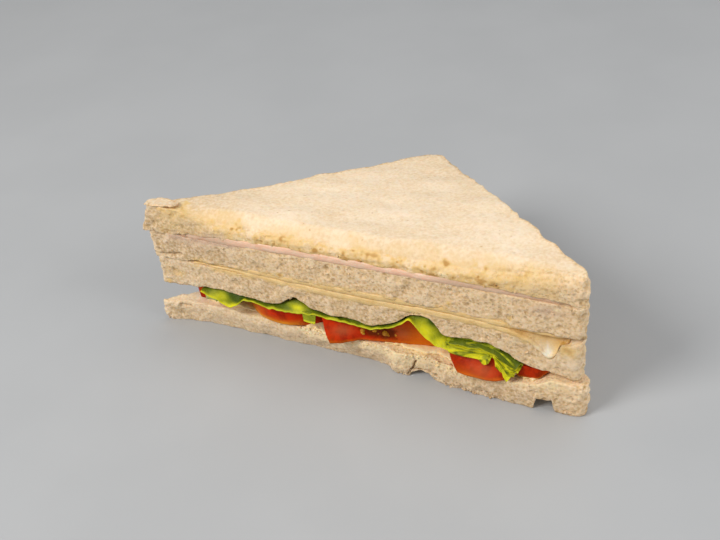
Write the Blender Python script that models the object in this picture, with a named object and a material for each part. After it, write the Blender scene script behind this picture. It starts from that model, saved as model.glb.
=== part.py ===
"""Half of a triple-decker sandwich: four slices of crustless bread, ham, cheese, lettuce, tomato and spread.

The square sandwich is cut corner to corner, and this is one half. The cut face looks along -Y, +X runs
along the cut, +Z is up, and the bread rests on the floor z = 0. Every layer is one closed solid between
two height functions of the plan position, so that neighbouring layers follow each other with a small gap.
Lengths are millimetres until the meshes are made.
"""

import math
import random

import bpy
import numpy as np
from mathutils import Vector
from mathutils.geometry import delaunay_2d_cdt

MM = 0.001
GAP = 0.3
# The tomato pieces keep further off the steep folds of the leaves, and a little further off the spread.
TOMATO_CLEARANCE = 0.9
TOMATO_LIFT = 0.5
TOMATO_INSET = 4.5

# Plan of the half sandwich: the corners before rounding, and the radius of each corner.
LEFT_TIP = (-76.0, 0.0)
RIGHT_TIP = (79.0, 0.0)
BACK_CORNER = (2.5, 74.5)
LEFT_TIP_RADIUS = 1.5
RIGHT_TIP_RADIUS = 3.0
BACK_RADIUS = 6.0
DEPTH = BACK_CORNER[1]
# How far the middle of each leg bends out. The left leg bends most near its tip.
LEFT_LEG_BOW = -3.6
RIGHT_LEG_BOW = -2.0
LEFT_BOW_SKEW = 0.7

# Middle of the box round the whole sandwich, which becomes the origin.
PLAN_CENTRE = (0.1, 35.4)

# Distances between points on the outline of a slice, a thin sheet, a leaf and a tomato piece.
BREAD_PITCH = 3.2
SHEET_PITCH = 5.0
LEAF_PITCH = 3.4
TOMATO_PITCH = 3.4
# All layers share the points near the cut, so that neighbours split alike there: columns along the cut,
# and rows at these distances behind its plane, then a wider grid.
COLUMN = 3.0
ROWS = (1.6, 4.5, 10.0)
LIP_ROWS = (-0.3, 0.6, 1.6, 3.0, 4.5, 7.0, 10.0)
INNER_SPACING = 11.0
# Heights of the wall's points, as parts of the wall's height.
SLICE_LEVELS = (0.0, 0.3, 0.7, 1.0)
TOP_SLICE_LEVELS = (0.0, 0.35, 0.75, 0.9, 0.95, 1.0)
PLAIN_LEVELS = (0.0, 1.0)
TOMATO_LEVELS = (0.0, 0.5, 1.0)

SPREAD_THICKNESS = 0.7
CHEESE_LEAST = 0.3
CHEESE_MOST = 1.1
LEAF_THICKNESS = 0.6
LEAF_LIP = 1.2
FRILL_LIP = 2.3
LIP_REACH = 3.0
ARCH_REACH = 13.0
CRUMB_EDGE_REACH = 7.0
FOLD_REACH = 3.4
# The cheese corner that is folded over the lower slice stands this much further off it.
FOLD_ROOM = 0.5

# The right leg droops later than the left one, by this part of the whole droop.
RIGHT_LIFT = 0.28


def ease(t):
    """Smooth step from 0 to 1."""
    t = np.clip(t, 0.0, 1.0)
    return t * t * (3.0 - 2.0 * t)


def curve(*points, soften=0.9):
    """Function through (x, value) points, with its corners rounded over a few tenths of a millimetre."""
    xs = [p[0] for p in points]
    values = [p[1] for p in points]

    def value(x):
        steps = (-soften, -soften / 2, 0.0, soften / 2, soften)
        return sum(np.interp(x + step, xs, values) for step in steps) / len(steps)

    return value


def window(low, high, fade):
    """Function of x that is 1 between low and high and fades to 0 on both sides."""
    return lambda x: ease((x - low) / fade + 0.5) * ease((high - x) / fade + 0.5)


def ripple(seed, shortest, longest, waves=7):
    """Smooth random field of position between about -1 and 1, as a sum of plane waves."""
    draw = random.Random(seed)
    parts = []
    for _ in range(waves):
        size = 2.0 * math.pi / draw.uniform(shortest, longest)
        turn = draw.uniform(0.0, 2.0 * math.pi)
        tall = size * draw.uniform(-1.0, 1.0)
        parts.append((size * math.cos(turn), size * math.sin(turn), tall, draw.uniform(0.0, 2.0 * math.pi)))

    def value(x, y, z=0.0):
        return sum(np.sin(a * x + b * y + c * z + d) for a, b, c, d in parts) / math.sqrt(2.0 * waves)

    return value


def far(x, y):
    """How far back a point lies, from 0 at the cut to 1 at the back corner."""
    part = np.clip(y / DEPTH, 0.0, 1.0)
    return part - RIGHT_LIFT * np.sin(math.pi * part) * ease(x / 40.0)


def face(front, base, droop, reach):
    """Height of a layer's face: front(x) along the cut, easing to base(x), which droops to the back."""

    def height(x, y):
        near = 1.0 - ease(y / reach)
        return base(x) * (1.0 - droop * far(x, y)) + (front(x) - base(x)) * near

    return height


# ---- Heights of the faces, from the floor up ----

bottom_slice_top = face(
    curve(
        (-74, 8.6), (-60, 9.0), (-40, 8.7), (0, 8.8), (52, 8.7), (60, 9.6), (65, 12.6), (70, 12.2),
        (75, 11.6),
    ),
    curve((-74, 8.7), (52, 8.8), (60, 9.4), (66, 12.0), (75, 11.6)),
    0.07,
    ARCH_REACH,
)

# Two arches, where the lettuce pushes the bread up.
lower_slice_bottom = face(
    curve(
        (-74, 17.8), (-50, 20.0), (-40, 19.0), (-30, 18.4), (-26.5, 19.6), (-21.5, 24.0), (-17, 20.8),
        (-15, 19.5), (0, 19.0), (5, 18.2), (10, 19.5), (15, 22.0), (20, 26.2), (24, 27.0), (27, 26.4),
        (29, 22.6), (30.5, 20.4), (40, 21.3), (45, 21.7), (50, 18.9), (55, 16.3), (60, 15.5), (65, 14.9),
        (70, 13.9), (75, 13.2),
    ),
    curve((-74, 17.8), (-60, 18.2), (26, 18.2), (34, 20.2), (48, 20.0), (58, 16.0), (65, 14.9), (75, 13.4)),
    0.37,
    ARCH_REACH,
)

# Pressed in near the right end, under the folded corner of cheese.
lower_slice_top = face(
    curve(
        (-74, 29.2), (-62, 29.2), (-58, 28.8), (-38, 28.6), (-25, 28.0), (0, 27.4), (12, 27.3), (20, 28.0),
        (30, 28.2), (42, 28.0), (50, 27.5), (55, 26.4), (58, 24.9), (62, 21.2), (64.2, 19.3), (67, 22.4),
        (69.5, 25.4), (71.5, 27.6), (75, 27.9),
    ),
    curve((-74, 29.2), (-58, 28.7), (-25, 28.0), (12, 27.6), (55, 27.6), (75, 27.8)),
    0.28,
    FOLD_REACH,
)

upper_slice_bottom = face(
    curve(
        (-74, 29.8), (-62, 29.8), (-58, 30.6), (-38, 30.7), (-25, 30.7), (0, 30.8), (30, 31.2), (44, 30.7),
        (57, 29.9), (75, 29.6),
    ),
    curve((-74, 29.8), (-62, 30.2), (-38, 30.7), (0, 30.7), (30, 30.9), (57, 30.2), (75, 29.9)),
    0.27,
    ARCH_REACH,
)

upper_slice_top = face(
    curve((-74, 39.5), (-62, 39.4), (-43, 39.8), (-20, 40.8), (0, 41.0), (25, 41.2), (60, 41.2), (75, 40.7)),
    curve((-74, 39.5), (-43, 40.1), (-20, 40.7), (25, 41.0), (75, 40.8)),
    0.262,
    ARCH_REACH,
)

top_slice_bottom = face(
    curve(
        (-74, 40.0), (-64, 40.2), (-58, 41.1), (-40, 42.4), (-20, 43.1), (0, 43.1), (40, 43.2), (66, 42.7),
        (75, 41.2),
    ),
    curve((-74, 40.0), (-64, 40.5), (-50, 42.0), (0, 43.2), (60, 43.0), (75, 41.4)),
    0.265,
    ARCH_REACH,
)

top_slice_plain_top = face(
    curve(
        (-74, 50.2), (-62, 50.0), (-55, 48.0), (-47, 46.2), (-20, 46.0), (20, 46.2), (38, 46.8), (48, 48.0),
        (58, 50.0), (66, 51.2), (75, 51.3),
    ),
    curve((-74, 50.0), (-40, 50.2), (0, 50.4), (60, 51.0), (75, 51.3)),
    0.24,
    CRUMB_EDGE_REACH,
)

# The main leaf: its hanging front edge, and the bend behind it that follows the arches of the bread.
leaf_front = curve(
    (-58, 18.4), (-55, 17.2), (-51, 15.6), (-47, 13.8), (-44, 15.2), (-41, 18.2), (-38, 18.4), (-33, 17.5),
    (-30, 17.1), (-25, 17.4), (-18, 18.0), (-12, 18.4), (0, 18.1), (5, 17.4), (10, 18.7), (15, 21.3),
    (20, 25.2), (22, 22.6), (24.5, 19.2), (27.5, 17.0), (33, 15.8), (40, 15.9), (46, 16.6),
)
leaf_bend = face(
    curve(
        (-58, 18.2), (-54, 18.8), (-49, 19.0), (-42, 18.2), (-33, 17.6), (-29, 17.8), (-25, 19.6),
        (-21, 21.6), (-18.5, 20.2), (-15, 18.6), (0, 18.1), (5, 17.4), (10, 18.7), (15, 21.2), (20, 25.3),
        (24, 26.0), (27, 25.4), (29, 21.6), (31, 18.6), (34, 17.3), (46, 17.4),
    ),
    curve((-58, 17.2), (46, 17.2)),
    0.385,
    ARCH_REACH,
)
# The frilly bunch at the right, whose tip hangs over the joint between two tomato pieces.
frill_front = curve(
    (31, 18.6), (36, 19.0), (40, 18.8), (43, 19.2), (46, 18.8), (49, 16.6), (51.2, 14.2), (52.7, 12.2),
    (54.2, 13.6), (56.5, 15.0),
)
frill_bend = face(
    curve((31, 19.0), (36, 19.8), (44, 20.2), (47, 19.6), (50, 17.9), (56.5, 15.0)),
    curve((31, 18.6), (48, 18.8), (56.5, 15.2)),
    0.385,
    ARCH_REACH,
)


def with_lip(front, bend, lip):
    """Height of a leaf that rises from its hanging front edge, lip mm before the cut, to its bend."""

    def height(x, y):
        rise = ease((y + lip) / LIP_REACH)
        return front(x) * (1.0 - rise) + bend(x, y) * rise

    return height


leaf_middle = with_lip(leaf_front, leaf_bend, LEAF_LIP)
frill_middle = with_lip(frill_front, frill_bend, FRILL_LIP)

# Places along the cut: a nick and a tear in the lowest slice, and a flake on the top slice.
nick_span = window(59.9, 65.7, 1.2)
tear_span = window(18.5, 25.5, 2.0)
flake_span = window(-73.0, -62.0, 2.0)
NICK_HEIGHT, NICK_DEPTH = 4.4, 4.5
TEAR_HEIGHT, TEAR_DEPTH = 3.0, 6.5
FLAKE_HEIGHT, FLAKE_DEPTH = 1.0, 8.0
SLIT_DEPTH = 2.2
TIP_LEAN = 3.4
top_uneven = ripple(11, 9.0, 30.0)


def bottom_slice_bottom(x, y):
    """Underside of the lowest slice: flat, with a nick and a torn place at the cut."""
    nick = NICK_HEIGHT * nick_span(x) * (1.0 - ease((y - 1.5) / (NICK_DEPTH - 1.5)))
    torn = TEAR_HEIGHT * tear_span(x) * (1.0 - ease((y - 1.5) / (TEAR_DEPTH - 1.5)))
    return nick + torn


def top_slice_top(x, y):
    """Upper side of the sandwich, gently uneven, with a flake that curls up at the left tip."""
    flake = FLAKE_HEIGHT * flake_span(x) * (1.0 - ease(y / FLAKE_DEPTH))
    return top_slice_plain_top(x, y) + 0.3 * top_uneven(x, y) + flake


def spread_top(x, y):
    return bottom_slice_top(x, y) + GAP + SPREAD_THICKNESS


def cover(x, y):
    """Highest that a tomato piece may reach: just below the leaves, or the slice where there are none."""
    limit = lower_slice_bottom(x, y) - GAP
    leaf = leaf_middle(x, y) - LEAF_THICKNESS / 2 - TOMATO_CLEARANCE
    frill = frill_middle(x, y) - LEAF_THICKNESS / 2 - TOMATO_CLEARANCE
    limit = np.where((x > -60.0) & (x < 48.0), np.minimum(limit, leaf), limit)
    return np.where((x > 29.0) & (x < 58.5), np.minimum(limit, frill), limit)


def cheese_thickness(x, y):
    """Each of the two sheets takes half of the room between the slices, up to a full sheet."""
    room = upper_slice_bottom(x, y) - lower_slice_top(x, y) - 3 * GAP
    return np.clip(room / 2, CHEESE_LEAST, CHEESE_MOST)


# ---- Outlines ----


def resample(points, pitch):
    """Points at equal distances, about pitch apart, along a closed line."""
    points = np.asarray(points, float)
    closed = np.vstack([points, points[:1]])
    along = np.concatenate([[0.0], np.cumsum(np.linalg.norm(np.diff(closed, axis=0), axis=1))])
    marks = np.linspace(0.0, along[-1], round(along[-1] / pitch), endpoint=False)
    return np.stack([np.interp(marks, along, closed[:, axis]) for axis in (0, 1)], axis=1)


def outward(rim):
    """Unit normals of a counter-clockwise closed line, pointing out."""
    tangent = np.roll(rim, -1, axis=0) - np.roll(rim, 1, axis=0)
    normal = np.stack([tangent[:, 1], -tangent[:, 0]], axis=1)
    return normal / np.linalg.norm(normal, axis=1, keepdims=True)


def align_cut(rim):
    """Puts the points of an outline's cut edge on the shared columns. The outline starts at its left end."""
    on_cut = np.flatnonzero(outward(rim)[:, 1] < -0.8)
    first, last = on_cut[0], on_cut[-1]
    edge = rim[first:last + 1]
    xs = columns(edge[0, 0] + 0.4 * COLUMN, edge[-1, 0] - 0.4 * COLUMN, COLUMN)
    aligned = np.stack([xs, np.interp(xs, edge[:, 0], edge[:, 1])], axis=1)
    return np.concatenate([rim[:first + 1], aligned, rim[last:]])


def rounded_corner(before, corner, after, radius, steps=12):
    """Arc that rounds a corner of a counter-clockwise outline."""
    to_before = (before - corner) / np.linalg.norm(before - corner)
    to_after = (after - corner) / np.linalg.norm(after - corner)
    half = math.acos(float(np.dot(to_before, to_after))) / 2.0
    middle = to_before + to_after
    centre = corner + middle / np.linalg.norm(middle) * radius / math.sin(half)
    start = corner + to_before * radius / math.tan(half) - centre
    sweep = math.pi - 2.0 * half
    turns = [sweep * k / steps for k in range(steps + 1)]
    return [centre + np.array([start[0] * math.cos(a) - start[1] * math.sin(a),
                               start[0] * math.sin(a) + start[1] * math.cos(a)]) for a in turns]


def leg_inset(corner, other, inset):
    """Moves a tip along the cut so that its leg lies inset mm further in, or out if inset is negative."""
    leg = np.subtract(BACK_CORNER, corner)
    shift = inset * np.linalg.norm(leg) / leg[1]
    inward = 1.0 if other[0] > corner[0] else -1.0
    return np.array([corner[0] + inward * shift, corner[1]])


def triangle(pitch, seed, set_back, left_inset, right_inset, wave=1.0):
    """Outline of a layer: the rounded triangle, uneven along the legs, its cut edge at y = set_back(x)."""
    left = leg_inset(LEFT_TIP, RIGHT_TIP, left_inset)
    right = leg_inset(RIGHT_TIP, LEFT_TIP, right_inset)
    left_slope = DEPTH / (BACK_CORNER[0] - LEFT_TIP[0])
    right_slope = DEPTH / (RIGHT_TIP[0] - BACK_CORNER[0])
    back_x = (left[0] * left_slope + right[0] * right_slope) / (left_slope + right_slope)
    back = np.array([back_x, (back_x - left[0]) * left_slope])
    line = rounded_corner(back, left, right, LEFT_TIP_RADIUS)
    line += rounded_corner(left, right, back, RIGHT_TIP_RADIUS)
    line += rounded_corner(right, back, left, BACK_RADIUS)
    rim = resample(line, pitch)
    normal = outward(rim)
    leg = ease(normal[:, 1] + 0.6)
    back_part = np.clip(rim[:, 1] / DEPTH, 0.0, 1.0)
    left_bow = LEFT_LEG_BOW * np.sin(math.pi * back_part ** LEFT_BOW_SKEW)
    bow = np.where(normal[:, 0] < 0, left_bow, RIGHT_LEG_BOW * np.sin(math.pi * back_part))
    uneven = wave * ripple(seed, 6.0, 13.0)(rim[:, 0], rim[:, 1])
    rim = rim + normal * (leg * (bow + uneven))[:, None]
    cut = 1.0 - ease((rim[:, 1] + 0.2) / 4.0)
    rim[:, 1] += set_back(rim[:, 0]) * cut
    return align_cut(rim)


def cut_piece(centre, radius, limits, pitch):
    """Outline of a round slice trimmed by straight lines: each limit (a, b, c) keeps a x + b y <= c."""
    turn = np.linspace(-math.pi, math.pi, 240, endpoint=False)
    ray = np.stack([np.cos(turn), np.sin(turn)], axis=1)
    reach = np.full(len(turn), float(radius))
    for a, b, c in limits:
        size = math.hypot(a, b)
        room = (c - a * centre[0] - b * centre[1]) / size
        towards = (ray[:, 0] * a + ray[:, 1] * b) / size
        reach = np.where(towards > 1e-3, np.minimum(reach, room / np.maximum(towards, 1e-3)), reach)
    return align_cut(resample(np.array(centre) + ray * reach[:, None], pitch))


def inside(points, rim, margin):
    """The points that lie within a closed line and at least margin from it."""
    x, y = points[:, 0, None], points[:, 1, None]
    fence = resample(rim, 0.5)
    ax, ay = rim[:, 0], rim[:, 1]
    bx, by = np.roll(ax, -1), np.roll(ay, -1)
    spans = (ay > y) != (by > y)
    rise = np.where(by == ay, 1.0, by - ay)
    crossed = spans & (x < (bx - ax) * (y - ay) / rise + ax)
    within = crossed.sum(axis=1) % 2 == 1
    clear = np.hypot(fence[:, 0] - x, fence[:, 1] - y).min(axis=1) > margin
    return points[within & clear]


def columns(low, high, pitch, shift=0.0):
    """The shared columns between two places along the cut."""
    return np.arange(math.ceil(low / pitch - shift) + shift, high / pitch) * pitch


def inner_points(rim, rows):
    """Points inside an outline: the shared rows and columns near the cut, then a triangular grid."""
    low, high = rim[:, 0].min(), rim[:, 0].max()
    step = INNER_SPACING * math.sqrt(3) / 2
    lines = [(row, columns(low, high, COLUMN), 0.3 * COLUMN) for row in rows]
    level, number = rows[-1] + 0.75 * step, 0
    while level < rim[:, 1].max():
        lines.append((level, columns(low, high, INNER_SPACING, 0.5 * (number % 2)), 0.35 * INNER_SPACING))
        level, number = level + step, number + 1
    found = [inside(np.stack([xs, np.full(len(xs), y)], axis=1), rim, margin) for y, xs, margin in lines]
    return np.concatenate(found)


# ---- Solids ----


def no_edge(x, y, part):
    return np.zeros_like(x)


def no_lean(x, y, part):
    return np.zeros_like(x), np.zeros_like(x)


def torn_edge(seed, round_off=0.45, depth=0.35):
    """Outward offset of a slice's wall: rounded off above and below, and rough in between."""
    rough = ripple(seed, 3.5, 9.0)

    def offset(x, y, part):
        return -round_off * np.abs(2.0 * part - 1.0) ** 3 + depth * rough(x, y, 10.0 * part)

    return offset


def layer(name, rim, inner, low, high, levels, colour, roughness, edge=no_edge, lean=no_lean):
    """One closed solid between two height functions, with both faces split into triangles alike."""
    plan = np.concatenate([rim, inner])
    count = len(rim)
    ring = [(k, (k + 1) % count) for k in range(count)]
    split = delaunay_2d_cdt([Vector(p) for p in plan], ring, [list(range(count))], 1, 1e-6)
    triangles = [tuple(corner) for corner in split[2]]
    normal = outward(rim)
    x, y = plan[:, 0], plan[:, 1]
    foot, head = low(x, y), high(x, y)
    rows = []
    for part in levels:
        place = rim + normal * edge(rim[:, 0], rim[:, 1], part)[:, None]
        place = place + np.stack(lean(rim[:, 0], rim[:, 1], part), axis=1)
        height = foot[:count] + (head - foot)[:count] * part
        rows.append(np.column_stack([place, height]))
    middles = []
    for part, height in ((0.0, foot), (1.0, head)):
        place = inner + np.stack(lean(x[count:], y[count:], part), axis=1)
        middles.append(np.column_stack([place, height[count:]]))
    points = np.concatenate(rows + middles)
    last = (len(levels) - 1) * count
    under, over = len(levels) * count, len(levels) * count + len(inner)
    faces = []
    for triangle_corners in triangles:
        faces.append([k if k < count else under + k - count for k in reversed(triangle_corners)])
        faces.append([last + k if k < count else over + k - count for k in triangle_corners])
    for level in range(len(levels) - 1):
        for k in range(count):
            after = (k + 1) % count
            a, b = level * count + k, level * count + after
            faces.append([a, b, b + count])
            faces.append([a, b + count, a + count])
    points[:, :2] -= PLAN_CENTRE
    mesh = bpy.data.meshes.new(name)
    mesh.from_pydata((points * MM).tolist(), [], faces)
    mesh.materials.append(food(name, colour, roughness))
    mesh.shade_smooth()
    mesh.set_sharp_from_angle(angle=math.radians(40))
    bpy.context.scene.collection.objects.link(bpy.data.objects.new(name, mesh))


def food(name, colour, roughness):
    """Plain material of one layer."""
    made = bpy.data.materials.new(name)
    made.use_nodes = True
    shader = made.node_tree.nodes["Principled BSDF"]
    shader.inputs["Base Color"].default_value = (*colour, 1.0)
    shader.inputs["Roughness"].default_value = roughness
    shader.inputs["Metallic"].default_value = 0.0
    return made


# ---- The layers ----

CRUMB = (0.72, 0.55, 0.36)
SPREAD = (0.85, 0.72, 0.50)
CHEESE = (0.72, 0.53, 0.26)
HAM = (0.66, 0.40, 0.32)
LEAF = (0.36, 0.47, 0.05)
TOMATO = (0.50, 0.07, 0.02)


def flush(x):
    """An edge that stays on its own line."""
    return np.zeros_like(x)


def slice_of_bread(name, seed, insets, low, high, set_back, levels=SLICE_LEVELS, edge=None, lean=no_lean):
    """One slice; insets are how far its left and right legs lie inside the plan's."""
    rim = triangle(BREAD_PITCH, seed, set_back, *insets)
    inner = inner_points(rim, ROWS)
    layer(name, rim, inner, low, high, levels, CRUMB, 0.95, edge or torn_edge(seed), lean)


def bottom_slice():
    set_back = curve(
        (-79, 0), (-67, 2.6), (-60, 3.5), (0, 3.3), (10, 2.6), (12.5, -0.6), (17, -0.8), (19, 1.6), (26, 1.4),
        (29, -0.8), (45, -1.5), (62, -1.8), (76, -0.8), soften=0.6,
    )
    slice_of_bread("bread_bottom", 4, (-1.9, -0.8), bottom_slice_bottom, bottom_slice_top, set_back)


def lower_slice():
    slice_of_bread("bread_lower", 3, (0.5, 0.5), lower_slice_bottom, lower_slice_top, flush)


def upper_slice():
    slice_of_bread("bread_upper", 2, (0.0, 0.2), upper_slice_bottom, upper_slice_top, flush)


def top_slice():
    """The top slice: its left tip leans, and a slit runs under the flake there."""
    rough = torn_edge(1)
    tip_span = window(-90.0, -66.0, 14.0)
    slit_level = TOP_SLICE_LEVELS[-2]

    def edge(x, y, part):
        groove = SLIT_DEPTH * math.exp(-(((part - slit_level) / 0.02) ** 2))
        return rough(x, y, part) - groove * flake_span(x) * (1.0 - ease((y - 0.5) / 2.0))

    def lean(x, y, part):
        return TIP_LEAN * (part - 0.5) * tip_span(x), np.zeros_like(x)

    faces = (top_slice_bottom, top_slice_top)
    slice_of_bread("bread_top", 1, (-0.7, 0.0), *faces, flush, TOP_SLICE_LEVELS, edge, lean)


def sheet(name, seed, low, high, insets, set_back, wave, colour, roughness):
    """A thin layer over the whole triangle, its legs set in from the bread's."""
    rim = triangle(SHEET_PITCH, seed, set_back, *insets, wave=wave)
    inner = inner_points(rim, ROWS)
    layer(name, rim, inner, low, high, PLAIN_LEVELS, colour, roughness)


def spread():
    def low(x, y):
        return bottom_slice_top(x, y) + GAP

    set_back = curve(
        (-76, 2.0), (-60, 3.8), (-20, 3.4), (-13, 1.6), (-6, 1.4), (2, 2.6), (12, 1.2), (28, 0.6), (75, 0.2),
    )
    sheet("spread", 21, low, spread_top, (9.0, 9.5), set_back, 1.0, SPREAD, 0.45)


def lower_cheese():
    fold = window(57.0, 75.0, 6.0)

    def low(x, y):
        room = FOLD_ROOM * fold(x) * (1.0 - ease(y / FOLD_REACH / 2.0))
        return lower_slice_top(x, y) + GAP + room

    def high(x, y):
        return low(x, y) + cheese_thickness(x, y)

    set_back = curve((-70, 0.5), (48, 0.2), (56, -0.7), (68, -0.7), (72, 0.2))
    sheet("cheese_lower", 22, low, high, (10.0, 1.8), set_back, 0.4, CHEESE, 0.4)


def upper_cheese():
    def high(x, y):
        return upper_slice_bottom(x, y) - GAP

    def low(x, y):
        return high(x, y) - cheese_thickness(x, y)

    set_back = curve((-70, 0.6), (-30, 0.1), (70, 0.1))
    sheet("cheese_upper", 23, low, high, (9.0, 4.0), set_back, 0.4, CHEESE, 0.4)


def ham():
    def low(x, y):
        return upper_slice_top(x, y) + GAP

    def high(x, y):
        return top_slice_bottom(x, y) - GAP

    set_back = curve((-64, 0.8), (-40, 0.4), (72, 0.4))
    sheet("ham", 24, low, high, (8.0, 4.0), set_back, 0.8, HAM, 0.5)


def leaf(name, seed, rim, middle):
    """A thin wavy leaf whose front edge hangs a little before the cut."""
    uneven = 0.5 * ripple(seed, 5.0, 11.0)(rim[:, 0], rim[:, 1]) * (rim[:, 1] > 1.0)
    rim = rim + outward(rim) * uneven[:, None]
    inner = inner_points(rim, LIP_ROWS)

    def low(x, y):
        return middle(x, y) - LEAF_THICKNESS / 2

    def high(x, y):
        return middle(x, y) + LEAF_THICKNESS / 2

    layer(name, rim, inner, low, high, PLAIN_LEVELS, LEAF, 0.45)


def leg_limits(inset):
    """The two legs as limits for cut_piece, inset mm in."""
    limits = []
    for tip, side in ((LEFT_TIP, -1.0), (RIGHT_TIP, 1.0)):
        along = np.subtract(BACK_CORNER, tip)
        a, b = side * abs(along[1]), abs(along[0])
        limits.append((a, b, a * tip[0] + b * tip[1] - inset * math.hypot(a, b)))
    return limits


def lettuce():
    """A large leaf under most of the lower slice, and a frilly bunch at the right, above its end."""
    leaf_limits = [(-1, 0, 57.5), (1, 0, 46.0), (0, -1, LEAF_LIP), *leg_limits(2.8)]
    frill_limits = [(-1, 0, -32.6), (0, -1, FRILL_LIP), *leg_limits(4.0)]
    leaf("lettuce_leaf", 31, cut_piece((-6.0, 18.0), 90.0, leaf_limits, LEAF_PITCH), leaf_middle)
    leaf("lettuce_frill", 32, cut_piece((43.0, 6.0), 13.5, frill_limits, LEAF_PITCH), frill_middle)


def tomato_piece(name, rim, foot_out):
    """A piece of a tomato slice between the spread and the leaves; foot_out(x) pushes its front foot out."""
    front = rim[:, 1].min()
    inner = inner_points(rim, ROWS)

    def low(x, y):
        return spread_top(x, y) + TOMATO_LIFT

    def edge(x, y, part):
        return -0.5 * abs(2.0 * part - 1.0) ** 3 * np.ones_like(x)

    def lean(x, y, part):
        out = foot_out(x) * (1.0 - ease((y - front - 1.0) / 6.0)) * (1.0 - part)
        return 1.1 * out, -out

    layer(name, rim, inner, low, cover, TOMATO_LEVELS, TOMATO, 0.2, edge, lean)


def tomatoes():
    """Five pieces along the cut, left to right: centre, radius, trimming lines, how far the foot is out."""
    third_foot = curve((-12, 3.0), (-7, 2.4), (2, 0.0))
    fourth_foot = curve((32, 3.4), (38, 3.9), (44, 3.6), (50, 1.4), (52, 0.0))
    pieces = (
        ((-56.0, 11.0), 9.0, [(0, -1, -5.0)], flush),
        ((-27.0, 20.0), 19.5, [(1, 0, -12.8)], flush),
        ((10.0, 17.0), 28.0, [(-1, 0, 12.0), (1, 0, 31.0), (0.165, -1, -1.2)], third_foot),
        ((42.0, 9.0), 16.0, [(-1, 0, -31.8), (1, 0, 52.2), (0, -1, 0.4)], fourth_foot),
        ((57.4, 7.6), 7.8, [(-1, 0, -53.0), (0, -1, -0.4)], flush),
    )
    for number, (centre, radius, limits, foot_out) in enumerate(pieces, 1):
        rim = cut_piece(centre, radius, limits + leg_limits(TOMATO_INSET), TOMATO_PITCH)
        tomato_piece(f"tomato_{number}", rim, foot_out)


def main():
    for old in list(bpy.data.objects):
        bpy.data.objects.remove(old, do_unlink=True)
    bottom_slice()
    spread()
    tomatoes()
    lettuce()
    lower_slice()
    lower_cheese()
    upper_cheese()
    upper_slice()
    ham()
    top_slice()


main()
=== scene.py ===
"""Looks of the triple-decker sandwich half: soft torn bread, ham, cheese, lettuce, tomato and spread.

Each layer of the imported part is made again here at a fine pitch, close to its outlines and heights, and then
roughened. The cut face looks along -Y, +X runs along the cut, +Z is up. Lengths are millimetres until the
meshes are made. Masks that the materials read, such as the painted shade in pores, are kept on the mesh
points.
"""

import itertools
import math
import random

import bmesh
import bpy
import numpy as np
from mathutils import Matrix, Vector
from mathutils.geometry import delaunay_2d_cdt


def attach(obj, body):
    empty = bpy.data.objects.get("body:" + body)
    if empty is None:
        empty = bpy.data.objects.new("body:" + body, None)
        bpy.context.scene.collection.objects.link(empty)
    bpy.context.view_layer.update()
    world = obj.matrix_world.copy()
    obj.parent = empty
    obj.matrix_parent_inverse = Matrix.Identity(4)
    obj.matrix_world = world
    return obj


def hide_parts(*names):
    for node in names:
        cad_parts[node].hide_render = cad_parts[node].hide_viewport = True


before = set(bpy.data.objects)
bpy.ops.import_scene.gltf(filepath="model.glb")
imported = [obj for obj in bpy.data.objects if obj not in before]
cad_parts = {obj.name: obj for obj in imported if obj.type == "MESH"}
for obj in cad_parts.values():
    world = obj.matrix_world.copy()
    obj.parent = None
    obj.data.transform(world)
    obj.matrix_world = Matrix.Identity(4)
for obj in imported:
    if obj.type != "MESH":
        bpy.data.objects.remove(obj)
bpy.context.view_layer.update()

MM = 0.001

# Plan of the half sandwich, as in the part. An inset, here and below, is how far a leg moves in.
LEFT_TIP = (-76.0, 0.0)
RIGHT_TIP = (79.0, 0.0)
BACK_CORNER = (2.5, 74.5)
LEFT_TIP_RADIUS = 1.5
RIGHT_TIP_RADIUS = 3.0
BACK_RADIUS = 6.0
DEPTH = BACK_CORNER[1]
LEFT_LEG_BOW = -3.6
RIGHT_LEG_BOW = -2.0
LEFT_BOW_SKEW = 0.7
PLAN_CENTRE = (0.1, 35.4)

# Thicknesses and distances of the part. GAP lies between neighbouring solids.
GAP = 0.3
TOMATO_CLEARANCE = 0.9
TOMATO_INSET = 4.5
SPREAD_THICKNESS = 0.7
CHEESE_LEAST = 0.3
CHEESE_MOST = 1.1
LEAF_THICKNESS = 0.6
LEAF_LIP = 1.2
FRILL_LIP = 2.3
LIP_REACH = 3.0
ARCH_REACH = 13.0
CRUMB_EDGE_REACH = 7.0
FOLD_REACH = 3.4
FOLD_ROOM = 0.5
RIGHT_LIFT = 0.28

# What is thinner here than in the part or only here, and about how high the walls are.
MAIN_LEAF_THICKNESS = 0.36
FRILL_THICKNESS = 0.45
STRIP_THICKNESS = 0.35
FLAKE_THICKNESS = 0.4
SLICE_HEIGHT = 10.0
TOMATO_HEIGHT = 7.0

# How far the fillings sink into what they touch, so that no gap shows.
TOMATO_SINKS = 0.1
TOMATO_RISES = 0.5
CHEESE_SINKS = 0.25
CHEESE_RISES = 0.3
HAM_SINKS = 0.1
HAM_RISES = 0.15
PRESSED_SHEETS_APART = 0.04

# How far in from the left and right leg the slices press together, where the cheese and the ham end.
CHEESE_ENDS = (11.5, 3.4)
HAM_ENDS = (10.0, 5.0)
PRESSED_SHARE = 0.52

# Right of the tip of the folded cheese, the lower slice rises to this height at the cut.
FOLD_TIP_X = 65.4
BESIDE_TIP_HEIGHT = 26.4

# Distances between mesh points: along outlines, then, as (how far in from the outline, distance) pairs, on
# faces that show and on hidden ones.
FINE = 0.40
EVERYWHERE = 1000.0
SHOWN = ((EVERYWHERE, 0.52),)
HIDDEN = ((1.6, 0.55), (5.0, 1.6), (EVERYWHERE, 4.0))

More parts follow.
